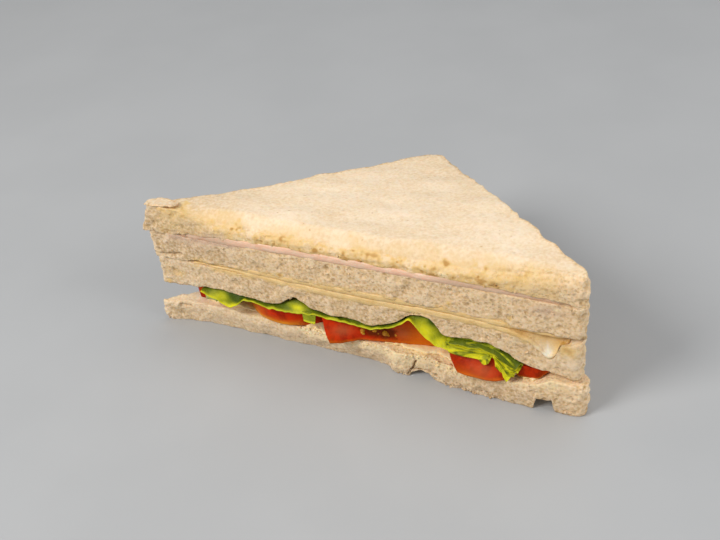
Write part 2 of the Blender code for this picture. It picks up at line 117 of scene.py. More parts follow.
CAMERA_PLACE = (126.28, -226.86, 233.18)
CAMERA_FORWARD = (-0.37891, 0.70493, -0.59958)
CAMERA_UP = (-0.17631, 0.58103, 0.79455)
CAMERA_LENS = 52.5
FLOOR_REACH = 9.0
LIT_PLACE = (0.0, 0.0, 0.025)


# ---- Shaping functions ----


def ease(t):
    """Smooth step from 0 to 1."""
    t = np.clip(t, 0.0, 1.0)
    return t * t * (3.0 - 2.0 * t)


def curve(*points, soften=0.9):
    """Function through (x, value) points, with its corners rounded over a few tenths of a millimetre."""
    xs = [p[0] for p in points]
    values = [p[1] for p in points]

    def value(x):
        steps = (-soften, -soften / 2, 0.0, soften / 2, soften)
        return sum(np.interp(x + step, xs, values) for step in steps) / len(steps)

    return value


def window(low, high, fade):
    """Function of x that is 1 between low and high and fades to 0 on both sides."""
    return lambda x: ease((x - low) / fade + 0.5) * ease((high - x) / fade + 0.5)


def ripple(seed, shortest, longest):
    """Smooth random field of position between about -1 and 1, as a sum of plane waves."""
    waves = 7
    draw = random.Random(seed)
    parts = []
    for _ in range(waves):
        size = 2.0 * math.pi / draw.uniform(shortest, longest)
        turn = draw.uniform(0.0, 2.0 * math.pi)
        tall = size * draw.uniform(-1.0, 1.0)
        parts.append((size * math.cos(turn), size * math.sin(turn), tall, draw.uniform(0.0, 2.0 * math.pi)))

    def value(x, y, z=0.0):
        return sum(np.sin(a * x + b * y + c * z + d) for a, b, c, d in parts) / math.sqrt(2.0 * waves)

    return value


RANDOM_VALUES = np.random.default_rng(5).uniform(-1.0, 1.0, 4096)


def hashed(cell, seed):
    """The same random value between -1 and 1 for each cell of a grid."""
    mixed = cell[:, 0] * 73856093 ^ cell[:, 1] * 19349663 ^ cell[:, 2] * 83492791 ^ seed * 2654435
    return RANDOM_VALUES[(mixed ^ (mixed >> 13)) & 4095]


def noise(points, size, seed):
    """Smooth random value between -1 and 1 that changes over size mm."""
    place = points / size + 0.37 * seed
    cell = np.floor(place).astype(np.int64)
    part = ease(place - cell)
    total = np.zeros(len(points))
    for corner in itertools.product((0, 1), repeat=3):
        weight = np.prod(np.where(corner, part, 1.0 - part), axis=1)
        total += weight * hashed(cell + corner, seed)
    return total


def pores(points, spacing, share, seed):
    """Depth, from 0 to 1, of round pores that fill this share of a grid's cells, spacing mm apart."""
    place = points / spacing
    cell = np.floor(place).astype(np.int64)
    depth = np.zeros(len(points))
    for step in itertools.product((-1, 0, 1), repeat=3):
        other = cell + step
        shift = np.stack([hashed(other, seed + k) for k in (1, 2, 3)], axis=1)
        radius = 0.42 + 0.24 * hashed(other, seed + 4)
        there = hashed(other, seed + 5) < 2.0 * share - 1.0
        away = np.linalg.norm(place - other - 0.5 - 0.42 * shift, axis=1)
        depth = np.maximum(depth, there * (1.0 - (away / radius) ** 2))
    return depth


# ---- Heights of the faces, as in the part ----


def far(x, y):
    """How far back a point lies, from 0 at the cut to 1 at the back corner."""
    part = np.clip(y / DEPTH, 0.0, 1.0)
    return part - RIGHT_LIFT * np.sin(math.pi * part) * ease(x / 40.0)


def face(front, base, droop, reach):
    """Height of a layer's face: front(x) along the cut, easing to base(x), which droops to the back."""

    def height(x, y):
        near = 1.0 - ease(y / reach)
        return base(x) * (1.0 - droop * far(x, y)) + (front(x) - base(x)) * near

    return height


bottom_slice_top = face(
    curve(
        (-74, 8.6), (-60, 9.0), (-40, 8.7), (0, 8.8), (52, 8.7), (60, 9.6), (65, 12.6), (70, 12.2),
        (75, 11.6),
    ),
    curve((-74, 8.7), (52, 8.8), (60, 9.4), (66, 12.0), (75, 11.6)),
    0.07,
    ARCH_REACH,
)
lower_slice_bottom = face(
    curve(
        (-74, 17.8), (-50, 20.0), (-40, 19.0), (-30, 18.4), (-26.5, 19.6), (-21.5, 24.0), (-17, 20.8),
        (-15, 19.5), (0, 19.0), (5, 18.2), (10, 19.5), (15, 22.0), (20, 26.2), (24, 27.0), (27, 26.4),
        (29, 22.6), (30.5, 20.4), (40, 21.3), (45, 21.7), (50, 18.9), (55, 16.3), (60, 15.5), (65, 14.9),
        (70, 13.9), (75, 13.2),
    ),
    curve((-74, 17.8), (-60, 18.2), (26, 18.2), (34, 20.2), (48, 20.0), (58, 16.0), (65, 14.9), (75, 13.4)),
    0.37,
    ARCH_REACH,
)
lower_slice_top = face(
    curve(
        (-74, 29.2), (-62, 29.2), (-58, 28.8), (-38, 28.6), (-25, 28.0), (0, 27.4), (12, 27.3), (20, 28.0),
        (30, 28.2), (42, 28.0), (50, 27.5), (55, 26.4), (58, 24.9), (62, 21.2), (64.2, 19.3), (67, 22.4),
        (69.5, 25.4), (71.5, 27.6), (75, 27.9),
    ),
    curve((-74, 29.2), (-58, 28.7), (-25, 28.0), (12, 27.6), (55, 27.6), (75, 27.8)),
    0.28,
    FOLD_REACH,
)
upper_slice_bottom = face(
    curve(
        (-74, 29.8), (-62, 29.8), (-58, 30.6), (-38, 30.7), (-25, 30.7), (0, 30.8), (30, 31.2), (44, 30.7),
        (57, 29.9), (75, 29.6),
    ),
    curve((-74, 29.8), (-62, 30.2), (-38, 30.7), (0, 30.7), (30, 30.9), (57, 30.2), (75, 29.9)),
    0.27,
    ARCH_REACH,
)
upper_slice_top = face(
    curve((-74, 39.5), (-62, 39.4), (-43, 39.8), (-20, 40.8), (0, 41.0), (25, 41.2), (60, 41.2), (75, 40.7)),
    curve((-74, 39.5), (-43, 40.1), (-20, 40.7), (25, 41.0), (75, 40.8)),
    0.262,
    ARCH_REACH,
)
top_slice_bottom = face(
    curve(
        (-74, 40.0), (-64, 40.2), (-58, 41.1), (-40, 42.4), (-20, 43.1), (0, 43.1), (40, 43.2), (66, 42.7),
        (75, 41.2),
    ),
    curve((-74, 40.0), (-64, 40.5), (-50, 42.0), (0, 43.2), (60, 43.0), (75, 41.4)),
    0.265,
    ARCH_REACH,
)
top_slice_plain_top = face(
    curve(
        (-74, 50.2), (-62, 50.0), (-55, 48.0), (-47, 46.2), (-20, 46.0), (20, 46.2), (38, 46.8), (48, 48.0),
        (58, 50.0), (66, 51.2), (75, 51.3),
    ),
    curve((-74, 50.0), (-40, 50.2), (0, 50.4), (60, 51.0), (75, 51.3)),
    0.24,
    CRUMB_EDGE_REACH,
)
leaf_front = curve(
    (-58, 18.4), (-55, 17.2), (-51, 15.6), (-47, 13.8), (-44, 15.2), (-41, 18.2), (-38, 18.4), (-33, 17.5),
    (-30, 17.1), (-25, 17.4), (-18, 18.0), (-12, 18.4), (0, 18.1), (5, 17.4), (10, 18.7), (15, 21.3),
    (20, 25.2), (22, 22.6), (24.5, 19.2), (27.5, 17.0), (33, 15.8), (40, 15.9), (46, 16.6),
)
leaf_bend = face(
    curve(
        (-58, 18.2), (-54, 18.8), (-49, 19.0), (-42, 18.2), (-33, 17.6), (-29, 17.8), (-25, 19.6),
        (-21, 21.6), (-18.5, 20.2), (-15, 18.6), (0, 18.1), (5, 17.4), (10, 18.7), (15, 21.2), (20, 25.3),
        (24, 26.0), (27, 25.4), (29, 21.6), (31, 18.6), (34, 17.3), (46, 17.4),
    ),
    curve((-58, 17.2), (46, 17.2)),
    0.385,
    ARCH_REACH,
)
frill_front = curve(
    (31, 18.6), (36, 19.0), (40, 18.8), (43, 19.2), (46, 18.8), (49, 16.6), (51.2, 14.2), (52.7, 12.2),
    (54.2, 13.6), (56.5, 15.0),
)
frill_bend = face(
    curve((31, 19.0), (36, 19.8), (44, 20.2), (47, 19.6), (50, 17.9), (56.5, 15.0)),
    curve((31, 18.6), (48, 18.8), (56.5, 15.2)),
    0.385,
    ARCH_REACH,
)


def with_lip(front, bend, lip):
    """Height of a leaf that rises from its hanging front edge, lip mm before the cut, to its bend."""

    def height(x, y):
        rise = ease((y + lip) / LIP_REACH)
        return front(x) * (1.0 - rise) + bend(x, y) * rise

    return height


leaf_middle = with_lip(leaf_front, leaf_bend, LEAF_LIP)
frill_middle = with_lip(frill_front, frill_bend, FRILL_LIP)

nick_span = window(59.9, 65.7, 1.2)
tear_span = window(18.5, 25.5, 2.0)
# The nick and the torn place under the front keep their height for FULL_DEPTH, and then ease off. The torn
# place is a millimetre lower here than in the part.
NICK_HEIGHT = 4.4
NICK_DEPTH = 4.5
TEAR_HEIGHT = 2.0
TEAR_DEPTH = 6.5
FULL_DEPTH = 1.5
TIP_LEAN = 3.4
top_uneven = ripple(11, 9.0, 30.0)


def bottom_slice_bottom(x, y):
    """Underside of the lowest slice: flat, with a nick and a torn place at the cut."""
    nick = NICK_HEIGHT * nick_span(x) * (1.0 - ease((y - FULL_DEPTH) / (NICK_DEPTH - FULL_DEPTH)))
    torn = TEAR_HEIGHT * tear_span(x) * (1.0 - ease((y - FULL_DEPTH) / (TEAR_DEPTH - FULL_DEPTH)))
    return nick + torn


def top_slice_top(x, y):
    """Upper side of the sandwich, gently uneven."""
    return top_slice_plain_top(x, y) + 0.3 * top_uneven(x, y)


def spread_top(x, y):
    """Upper side of the spread, on which the tomato lies."""
    return bottom_slice_top(x, y) + GAP + SPREAD_THICKNESS


def cover(x, y):
    """Highest that a tomato piece may reach: just below the leaves, or the slice where there are none."""
    limit = lower_slice_bottom(x, y) - GAP
    leaf = leaf_middle(x, y) - LEAF_THICKNESS / 2 - TOMATO_CLEARANCE
    frill = frill_middle(x, y) - LEAF_THICKNESS / 2 - TOMATO_CLEARANCE
    limit = np.where((x > -60.0) & (x < 48.0), np.minimum(limit, leaf), limit)
    return np.where((x > 29.0) & (x < 58.5), np.minimum(limit, frill), limit)


def cheese_thickness(x, y):
    """Each of the two sheets takes half of the room between the slices, up to a full sheet."""
    room = upper_slice_bottom(x, y) - lower_slice_top(x, y) - 3 * GAP
    return np.clip(room / 2, CHEESE_LEAST, CHEESE_MOST)


# ---- Outlines ----


def resample(points):
    """Points at equal distances along a closed line."""
    points = np.asarray(points, float)
    closed = np.vstack([points, points[:1]])
    along = np.concatenate([[0.0], np.cumsum(np.linalg.norm(np.diff(closed, axis=0), axis=1))])
    marks = np.linspace(0.0, along[-1], round(along[-1] / FINE), endpoint=False)
    return np.stack([np.interp(marks, along, closed[:, axis]) for axis in (0, 1)], axis=1)


def rim_noise(rim, size, seed):
    """Noise at the points of an outline."""
    return noise(np.column_stack([rim, np.zeros(len(rim))]), size, seed)


def outward(rim):
    """Unit normals of a counter-clockwise closed line, pointing out."""
    tangent = np.roll(rim, -1, axis=0) - np.roll(rim, 1, axis=0)
    normal = np.stack([tangent[:, 1], -tangent[:, 0]], axis=1)
    return normal / np.linalg.norm(normal, axis=1, keepdims=True)


def rounded_corner(before, corner, after, radius):
    """Arc that rounds a corner of a counter-clockwise outline."""
    steps = 12
    to_before = (before - corner) / np.linalg.norm(before - corner)
    to_after = (after - corner) / np.linalg.norm(after - corner)
    half = math.acos(float(np.dot(to_before, to_after))) / 2.0
    middle = to_before + to_after
    centre = corner + middle / np.linalg.norm(middle) * radius / math.sin(half)
    start = corner + to_before * radius / math.tan(half) - centre
    turns = [(math.pi - 2.0 * half) * k / steps for k in range(steps + 1)]
    return [centre + np.array([start[0] * math.cos(a) - start[1] * math.sin(a),
                               start[0] * math.sin(a) + start[1] * math.cos(a)]) for a in turns]


def leg_inset(corner, other, inset):
    """Moves a tip along the cut so that its leg lies inset mm further in, or out if inset is negative."""
    leg = np.subtract(BACK_CORNER, corner)
    shift = inset * np.linalg.norm(leg) / leg[1]
    inward = 1.0 if other[0] > corner[0] else -1.0
    return np.array([corner[0] + inward * shift, corner[1]])


def triangle(seed, set_back, left_inset, right_inset, wave=1.0):
    """Outline of a layer: the rounded triangle, uneven along the legs, its cut edge at y = set_back(x)."""
    left = leg_inset(LEFT_TIP, RIGHT_TIP, left_inset)
    right = leg_inset(RIGHT_TIP, LEFT_TIP, right_inset)
    left_slope = DEPTH / (BACK_CORNER[0] - LEFT_TIP[0])
    right_slope = DEPTH / (RIGHT_TIP[0] - BACK_CORNER[0])
    back_x = (left[0] * left_slope + right[0] * right_slope) / (left_slope + right_slope)
    back = np.array([back_x, (back_x - left[0]) * left_slope])
    line = rounded_corner(back, left, right, LEFT_TIP_RADIUS)
    line += rounded_corner(left, right, back, RIGHT_TIP_RADIUS)
    line += rounded_corner(right, back, left, BACK_RADIUS)
    rim = resample(line)
    normal = outward(rim)
    leg = ease(normal[:, 1] + 0.6)
    back_part = np.clip(rim[:, 1] / DEPTH, 0.0, 1.0)
    left_bow = LEFT_LEG_BOW * np.sin(math.pi * back_part ** LEFT_BOW_SKEW)
    bow = np.where(normal[:, 0] < 0, left_bow, RIGHT_LEG_BOW * np.sin(math.pi * back_part))
    broad_bumps = ripple(seed, 9.0, 24.0)(rim[:, 0], rim[:, 1])
    uneven = wave * (0.6 * broad_bumps + 0.45 * rim_noise(rim, 3.6, seed + 200))
    near_back = 1.0 - ease((rim[:, 1] - DEPTH + 13.0) / 9.0)
    rim = rim + normal * (leg * (bow + uneven * near_back))[:, None]
    cut = 1.0 - ease((rim[:, 1] + 0.2) / 6.5)
    rim[:, 1] += set_back(rim[:, 0]) * cut
    return rim


def cut_piece(centre, radius, limits):
    """Outline of a round slice trimmed by straight lines: each limit (a, b, c) keeps a x + b y <= c."""
    turn = np.linspace(-math.pi, math.pi, 720, endpoint=False)
    ray = np.stack([np.cos(turn), np.sin(turn)], axis=1)
    reach = np.full(len(turn), float(radius))
    for a, b, c in limits:
        size = math.hypot(a, b)
        room = (c - a * centre[0] - b * centre[1]) / size
        towards = (ray[:, 0] * a + ray[:, 1] * b) / size
        reach = np.where(towards > 1e-3, np.minimum(reach, room / np.maximum(towards, 1e-3)), reach)
    return resample(np.array(centre) + ray * reach[:, None])


def leg_limits(inset):
    """The two legs as limits for cut_piece, inset mm in."""
    limits = []
    for tip, side in ((LEFT_TIP, -1.0), (RIGHT_TIP, 1.0)):
        along = np.subtract(BACK_CORNER, tip)
        a, b = side * abs(along[1]), abs(along[0])
        limits.append((a, b, a * tip[0] + b * tip[1] - inset * math.hypot(a, b)))
    return limits


def inside_legs(x, y):
    """Distances of these places in from the left and from the right leg."""
    return [(c - a * x - b * y) / math.hypot(a, b) for a, b, c in leg_limits(0.0)]


def depth_inside(points, rim):
    """Distance of each point from a closed line, negative outside it."""
    found = []
    ax, ay = rim[:, 0], rim[:, 1]
    bx, by = np.roll(ax, -1), np.roll(ay, -1)
    rise = np.where(by == ay, 1.0, by - ay)
    for batch in np.array_split(points, len(points) // 2000 + 1):
        x, y = batch[:, 0, None], batch[:, 1, None]
        crossed = ((ay > y) != (by > y)) & (x < (bx - ax) * (y - ay) / rise + ax)
        within = crossed.sum(axis=1) % 2 == 1
        away = np.sqrt(((ax - x) ** 2 + (ay - y) ** 2).min(axis=1))
        found.append(np.where(within, away, -away))
    return np.concatenate(found)


def with_edge(points, rim, offset):
    """Moves points near a closed line with it, when each of its points moves out by its offset."""
    reach = 3.0
    moved = points.copy()
    normal = outward(rim)
    near = np.flatnonzero(depth_inside(points, rim[::3]) < reach + 1.0)
    for batch in np.array_split(near, len(near) // 2000 + 1):
        away = np.linalg.norm(points[batch][:, None] - rim[None], axis=2)
        closest = away.argmin(axis=1)
        share = 1.0 - ease(away.min(axis=1) / reach)
        moved[batch] += normal[closest] * (offset[closest] * share)[:, None]
    return moved


def inner_points(rim, bands, seed):
    """Points inside an outline, in triangular grids whose spacing depends on the distance from the line."""
    draw = np.random.default_rng(seed)
    low, high = rim.min(axis=0), rim.max(axis=0)
    found = []
    nearest = 0.0
    for reach, spacing in bands:
        step = spacing * math.sqrt(3.0) / 2.0
        rows = np.arange(low[1], high[1], step)
        xs = np.arange(low[0], high[0], spacing)
        x = (xs[None, :] + 0.5 * spacing * (np.arange(len(rows)) % 2)[:, None]).ravel()
        y = np.repeat(rows, len(xs))
        grid = np.stack([x, y], axis=1) + draw.uniform(-0.16, 0.16, (len(x), 2)) * spacing
        rough_depth = depth_inside(grid, rim[::4])
        grid = grid[(rough_depth > nearest - 2.0) & (rough_depth < reach + 2.0)]
        depth = depth_inside(grid, rim)
        found.append(grid[(depth > max(nearest, 0.55 * spacing)) & (depth <= reach)])
        nearest = reach
    return np.concatenate(found)


# ---- Meshes ----


class Form:
    """Points in mm and triangles of a closed solid, with named masks on its points."""

    def __init__(self, points, triangles, masks):
        self.points = points
        self.triangles = triangles
        self.masks = masks

    def normals(self):
        """Unit normals of the points, evened out with their neighbours so that a push folds no edge."""
        rounds = 2
        corners = self.points[self.triangles]
        across = np.cross(corners[:, 1] - corners[:, 0], corners[:, 2] - corners[:, 0])
        found = np.zeros_like(self.points)
        for corner in range(3):
            np.add.at(found, self.triangles[:, corner], across)
        found = found / np.maximum(np.linalg.norm(found, axis=1, keepdims=True), 1e-12)
        first, second = self.triangles.ravel(), np.roll(self.triangles, 1, axis=1).ravel()
        for _ in range(rounds):
            total = found.copy()
            for axis in range(3):
                total[:, axis] += np.bincount(first, found[second, axis], len(found))
                total[:, axis] += np.bincount(second, found[first, axis], len(found))
            found = total / np.maximum(np.linalg.norm(total, axis=1, keepdims=True), 1e-12)
        return found

    def push(self, distance):
        """Moves each point out along its normal, in mm."""
        self.points = self.points + self.normals() * distance[:, None]

    def add(self, other):
        """Joins another form to this one. A mask that only one of them has is 0 on the other."""
        first = len(self.points)
        names = set(self.masks) | set(other.masks)
        nothing, extra = np.zeros(first), np.zeros(len(other.points))
        self.masks = {
            name: np.concatenate([self.masks.get(name, nothing), other.masks.get(name, extra)])
            for name in names
        }
        self.points = np.concatenate([self.points, other.points])
        self.triangles = np.concatenate([self.triangles, other.triangles + first])

    def piece(self, name, material, slot, *nodes):
        """Makes the object, which stands for these nodes of the part."""
        points = self.points.copy()
        points[:, :2] -= PLAN_CENTRE
        mesh = bpy.data.meshes.new(name)
        mesh.vertices.add(len(points))
        mesh.vertices.foreach_set("co", (points * MM).ravel())
        mesh.loops.add(3 * len(self.triangles))
        mesh.loops.foreach_set("vertex_index", self.triangles.ravel())
        mesh.polygons.add(len(self.triangles))
        mesh.polygons.foreach_set("loop_start", np.arange(0, 3 * len(self.triangles), 3))
        mesh.update(calc_edges=True)
        mesh.validate()
        mesh.shade_smooth()
        for mask, values in self.masks.items():
            kept = mesh.attributes.new(mask, "FLOAT", "POINT")
            kept.data.foreach_set("value", np.clip(values, 0.0, 1.0).astype(np.float32))
        mesh.materials.append(material)
        made = bpy.data.objects.new(name, mesh)
        bpy.context.scene.collection.objects.link(made)
        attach(made, "root")
        if nodes:
            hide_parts(*nodes)


def split(rim, inner):
    """Triangles that fill an outline, over the outline's points and the inner ones."""
    plan = [Vector(p) for p in np.concatenate([rim, inner])]
    count = len(rim)
    ring = [(k, (k + 1) % count) for k in range(count)]
    return np.array([list(c) for c in delaunay_2d_cdt(plan, ring, [list(range(count))], 1, 1e-6)[2]])


def no_lean(x, y, part):
    """Shift of a wall that stands upright."""
    return np.zeros_like(x), np.zeros_like(x)


def layer(rim, low, high, tall, bands_below, bands_above, edge, lean, seed):
    """Fine closed solid between two height functions; also each point's level and its distance from the rim.

    tall is how many rows of faces its wall has. At a level, from 0 at the foot to 1 at the head, edge gives
    how far the wall moves out, and lean how far all points shift in x and y.
    """
    count = len(rim)
    below = inner_points(rim, bands_below, seed)
    above = inner_points(rim, bands_above, seed + 1)
    normal = outward(rim)
    foot, head = low(rim[:, 0], rim[:, 1]), high(rim[:, 0], rim[:, 1])
    rows, parts = [], []
    for part in np.linspace(0.0, 1.0, tall + 1):
        place = rim + normal * edge(rim[:, 0], rim[:, 1], part)[:, None]
        place = place + np.stack(lean(rim[:, 0], rim[:, 1], part), axis=1)
        rows.append(np.column_stack([place, foot + (head - foot) * part]))
        parts.append(np.full(count, part))
    for part, inner, height in ((0.0, below, low), (1.0, above, high)):
        place = with_edge(inner, rim, edge(rim[:, 0], rim[:, 1], part))
        place = place + np.stack(lean(inner[:, 0], inner[:, 1], part), axis=1)
        rows.append(np.column_stack([place, height(inner[:, 0], inner[:, 1])]))
        parts.append(np.full(len(inner), part))
    under, over = (tall + 1) * count, (tall + 1) * count + len(below)
    underside = split(rim, below)[:, ::-1]
    underside = np.where(underside < count, underside, underside - count + under)
    upside = split(rim, above)
    upside = np.where(upside < count, upside + tall * count, upside - count + over)
    here = np.arange(count)
    after = (here + 1) % count
    wall = []
    for row in range(tall):
        a, b = row * count + here, row * count + after
        wall += [np.stack([a, b, b + count], axis=1), np.stack([a, b + count, a + count], axis=1)]
    depth = np.zeros(under)
    depth = np.concatenate([depth, depth_inside(below, rim), depth_inside(above, rim)])
    form = Form(np.concatenate(rows), np.concatenate([underside, upside, *wall]), {})
    return form, np.concatenate(parts), depth


# ---- Materials ----


def new_group(name, inputs, outputs):
    """An empty node group with these sockets; inputs are (name, kind, first value)."""
    group = bpy.data.node_groups.new(name, "ShaderNodeTree")
    for socket_name, kind, value in inputs:
        socket = group.interface.new_socket(socket_name, in_out="INPUT", socket_type="NodeSocket" + kind)
        if value is not None:
            socket.default_value = value
    for socket_name, kind in outputs:
        group.interface.new_socket(socket_name, in_out="OUTPUT", socket_type="NodeSocket" + kind)
    return group, group.nodes.new("NodeGroupInput").outputs, group.nodes.new("NodeGroupOutput").inputs


def texture_scale(group, size):
    """Scale of a texture for a size in millimetres."""
    scale = group.nodes.new("ShaderNodeMath")
    scale.operation = "DIVIDE"
    scale.inputs[0].default_value = 1.0 / MM
    group.links.new(size, scale.inputs[1])
    return scale.outputs["Value"]


def patches_group():
    """Soft uneven patches of a given size in millimetres, as a share from 0 to 1."""
    group, given, found = new_group(
        "soft_patches",
        (("Vector", "Vector", None), ("Size", "Float", 1.0), ("Detail", "Float", 3.0),
         ("Low", "Float", 0.35), ("High", "Float", 0.65)),
        (("Patches", "Float"),),
    )
    noise_node = group.nodes.new("ShaderNodeTexNoise")
    group.links.new(given["Vector"], noise_node.inputs["Vector"])
    group.links.new(texture_scale(group, given["Size"]), noise_node.inputs["Scale"])
    group.links.new(given["Detail"], noise_node.inputs["Detail"])
    spread_out = group.nodes.new("ShaderNodeMapRange")
    spread_out.interpolation_type = "SMOOTHSTEP"
    group.links.new(noise_node.outputs["Fac"], spread_out.inputs["Value"])
    group.links.new(given["Low"], spread_out.inputs["From Min"])
    group.links.new(given["High"], spread_out.inputs["From Max"])
    group.links.new(spread_out.outputs["Result"], found["Patches"])
    return group


def relief_group():
    """Normal of a fine uneven relief; its grain and its depth are in millimetres."""
    group, given, found = new_group(
        "fine_relief",
        (("Vector", "Vector", None), ("Grain", "Float", 1.0), ("Depth", "Float", 0.1),
         ("Extra", "Float", 0.0)),
        (("Normal", "Vector"),),
    )
    noise_node = group.nodes.new("ShaderNodeTexNoise")
    noise_node.inputs["Detail"].default_value = 3.0
    group.links.new(given["Vector"], noise_node.inputs["Vector"])
    group.links.new(texture_scale(group, given["Grain"]), noise_node.inputs["Scale"])
    total = group.nodes.new("ShaderNodeMath")
    total.operation = "ADD"
    group.links.new(noise_node.outputs["Fac"], total.inputs[0])
    group.links.new(given["Extra"], total.inputs[1])
    depth = group.nodes.new("ShaderNodeMath")
    depth.operation = "MULTIPLY"
    depth.inputs[1].default_value = MM
    group.links.new(given["Depth"], depth.inputs[0])
    bump = group.nodes.new("ShaderNodeBump")
    group.links.new(total.outputs["Value"], bump.inputs["Height"])
    group.links.new(depth.outputs["Value"], bump.inputs["Distance"])
    group.links.new(bump.outputs["Normal"], found["Normal"])
    return group


PATCHES = patches_group()
RELIEF = relief_group()


class Shading:
    """A material's node tree, with short ways to add the nodes used here. Sizes are in millimetres."""

    def __init__(self, name):
        self.material = bpy.data.materials.new(name)
        self.material.use_nodes = True
        self.tree = self.material.node_tree
        self.shader = self.tree.nodes["Principled BSDF"]
        self.place = self.tree.nodes.new("ShaderNodeTexCoord").outputs["Object"]

    def link(self, value, socket):
        """Sets a socket to a value, or joins it to an output."""
        if isinstance(value, bpy.types.NodeSocket):
            self.tree.links.new(value, socket)
        elif isinstance(value, tuple) and len(value) == 3 and socket.type == "RGBA":
            socket.default_value = (*value, 1.0)
        else:
            socket.default_value = value

    def mask(self, name):
        """A mask that is kept on the mesh points."""
        node = self.tree.nodes.new("ShaderNodeAttribute")
        node.attribute_name = name
        return node.outputs["Fac"]

    def group(self, group, **values):
        """First output of a node group with these values."""
        node = self.tree.nodes.new("ShaderNodeGroup")
        node.node_tree = group
        for name, value in values.items():
            self.link(value, node.inputs[name])
        return node.outputs[0]

    def patches(self, size, low=0.35, high=0.65, detail=3.0, stretch=None):
        place = self.stretched(stretch) if stretch else self.place
        return self.group(PATCHES, Vector=place, Size=size, Detail=detail, Low=low, High=high)

    def relief(self, grain, depth, extra=0.0):
        return self.group(RELIEF, Vector=self.place, Grain=grain, Depth=depth, Extra=extra)

    def stretched(self, stretch):
        """The place, with each axis scaled by its own factor."""
        node = self.tree.nodes.new("ShaderNodeMapping")
        node.inputs["Scale"].default_value = stretch
        self.link(self.place, node.inputs["Vector"])
        return node.outputs["Vector"]

    def cells(self, size, feature, warp):
        """Distance from the middles of cells, or from their edges; warp bends the cells by this much."""
        node = self.tree.nodes.new("ShaderNodeTexVoronoi")
        node.feature = feature
        node.inputs["Scale"].default_value = 1.0 / (size * MM)
        self.link(self.warped(size, warp), node.inputs["Vector"])
        return node

    def warped(self, size, warp):
        """The place, moved about by noise of this size."""
        bends = self.tree.nodes.new("ShaderNodeTexNoise")
        bends.inputs["Scale"].default_value = 1.0 / (size * MM)
        self.link(self.place, bends.inputs["Vector"])
        node = self.tree.nodes.new("ShaderNodeVectorMath")
        node.operation = "MULTIPLY_ADD"
        self.link(bends.outputs["Color"], node.inputs[0])
        node.inputs[1].default_value = (warp * MM,) * 3
        self.link(self.place, node.inputs[2])
        return node.outputs["Vector"]

    def between(self, value, low, high, to_low=0.0, to_high=1.0):
        """Maps a value's range to another, held at its ends."""
        node = self.tree.nodes.new("ShaderNodeMapRange")
        node.interpolation_type = "SMOOTHSTEP"
        self.link(value, node.inputs["Value"])
        limits = {"From Min": low, "From Max": high, "To Min": to_low, "To Max": to_high}
        for name, number in limits.items():
            self.link(number, node.inputs[name])
        return node.outputs["Result"]

    def maths(self, kind, first, second):
        """Result of this sum of two values."""
        node = self.tree.nodes.new("ShaderNodeMath")
        node.operation = kind
        self.link(first, node.inputs[0])
        self.link(second, node.inputs[1])
        return node.outputs["Value"]

    def mix(self, share, first, second, most=1.0):
        """Blend of two colours; most is how much of the second one a share of 1 gives."""
        if most != 1.0:
            share = self.maths("MULTIPLY", share, most)
        node = self.tree.nodes.new("ShaderNodeMix")
        node.data_type = "RGBA"
        self.link(share, node.inputs["Factor"])
        self.link(first, node.inputs["A"])
        self.link(second, node.inputs["B"])
        return node.outputs["Result"]

    def finish(self, **values):
        """Sets the shader's sockets: a word with _ stands for a name with spaces."""
        for name, value in values.items():
            self.link(value, self.shader.inputs[name.replace("_", " ")])
        return self.material


CREAM = (0.99, 0.80, 0.48)


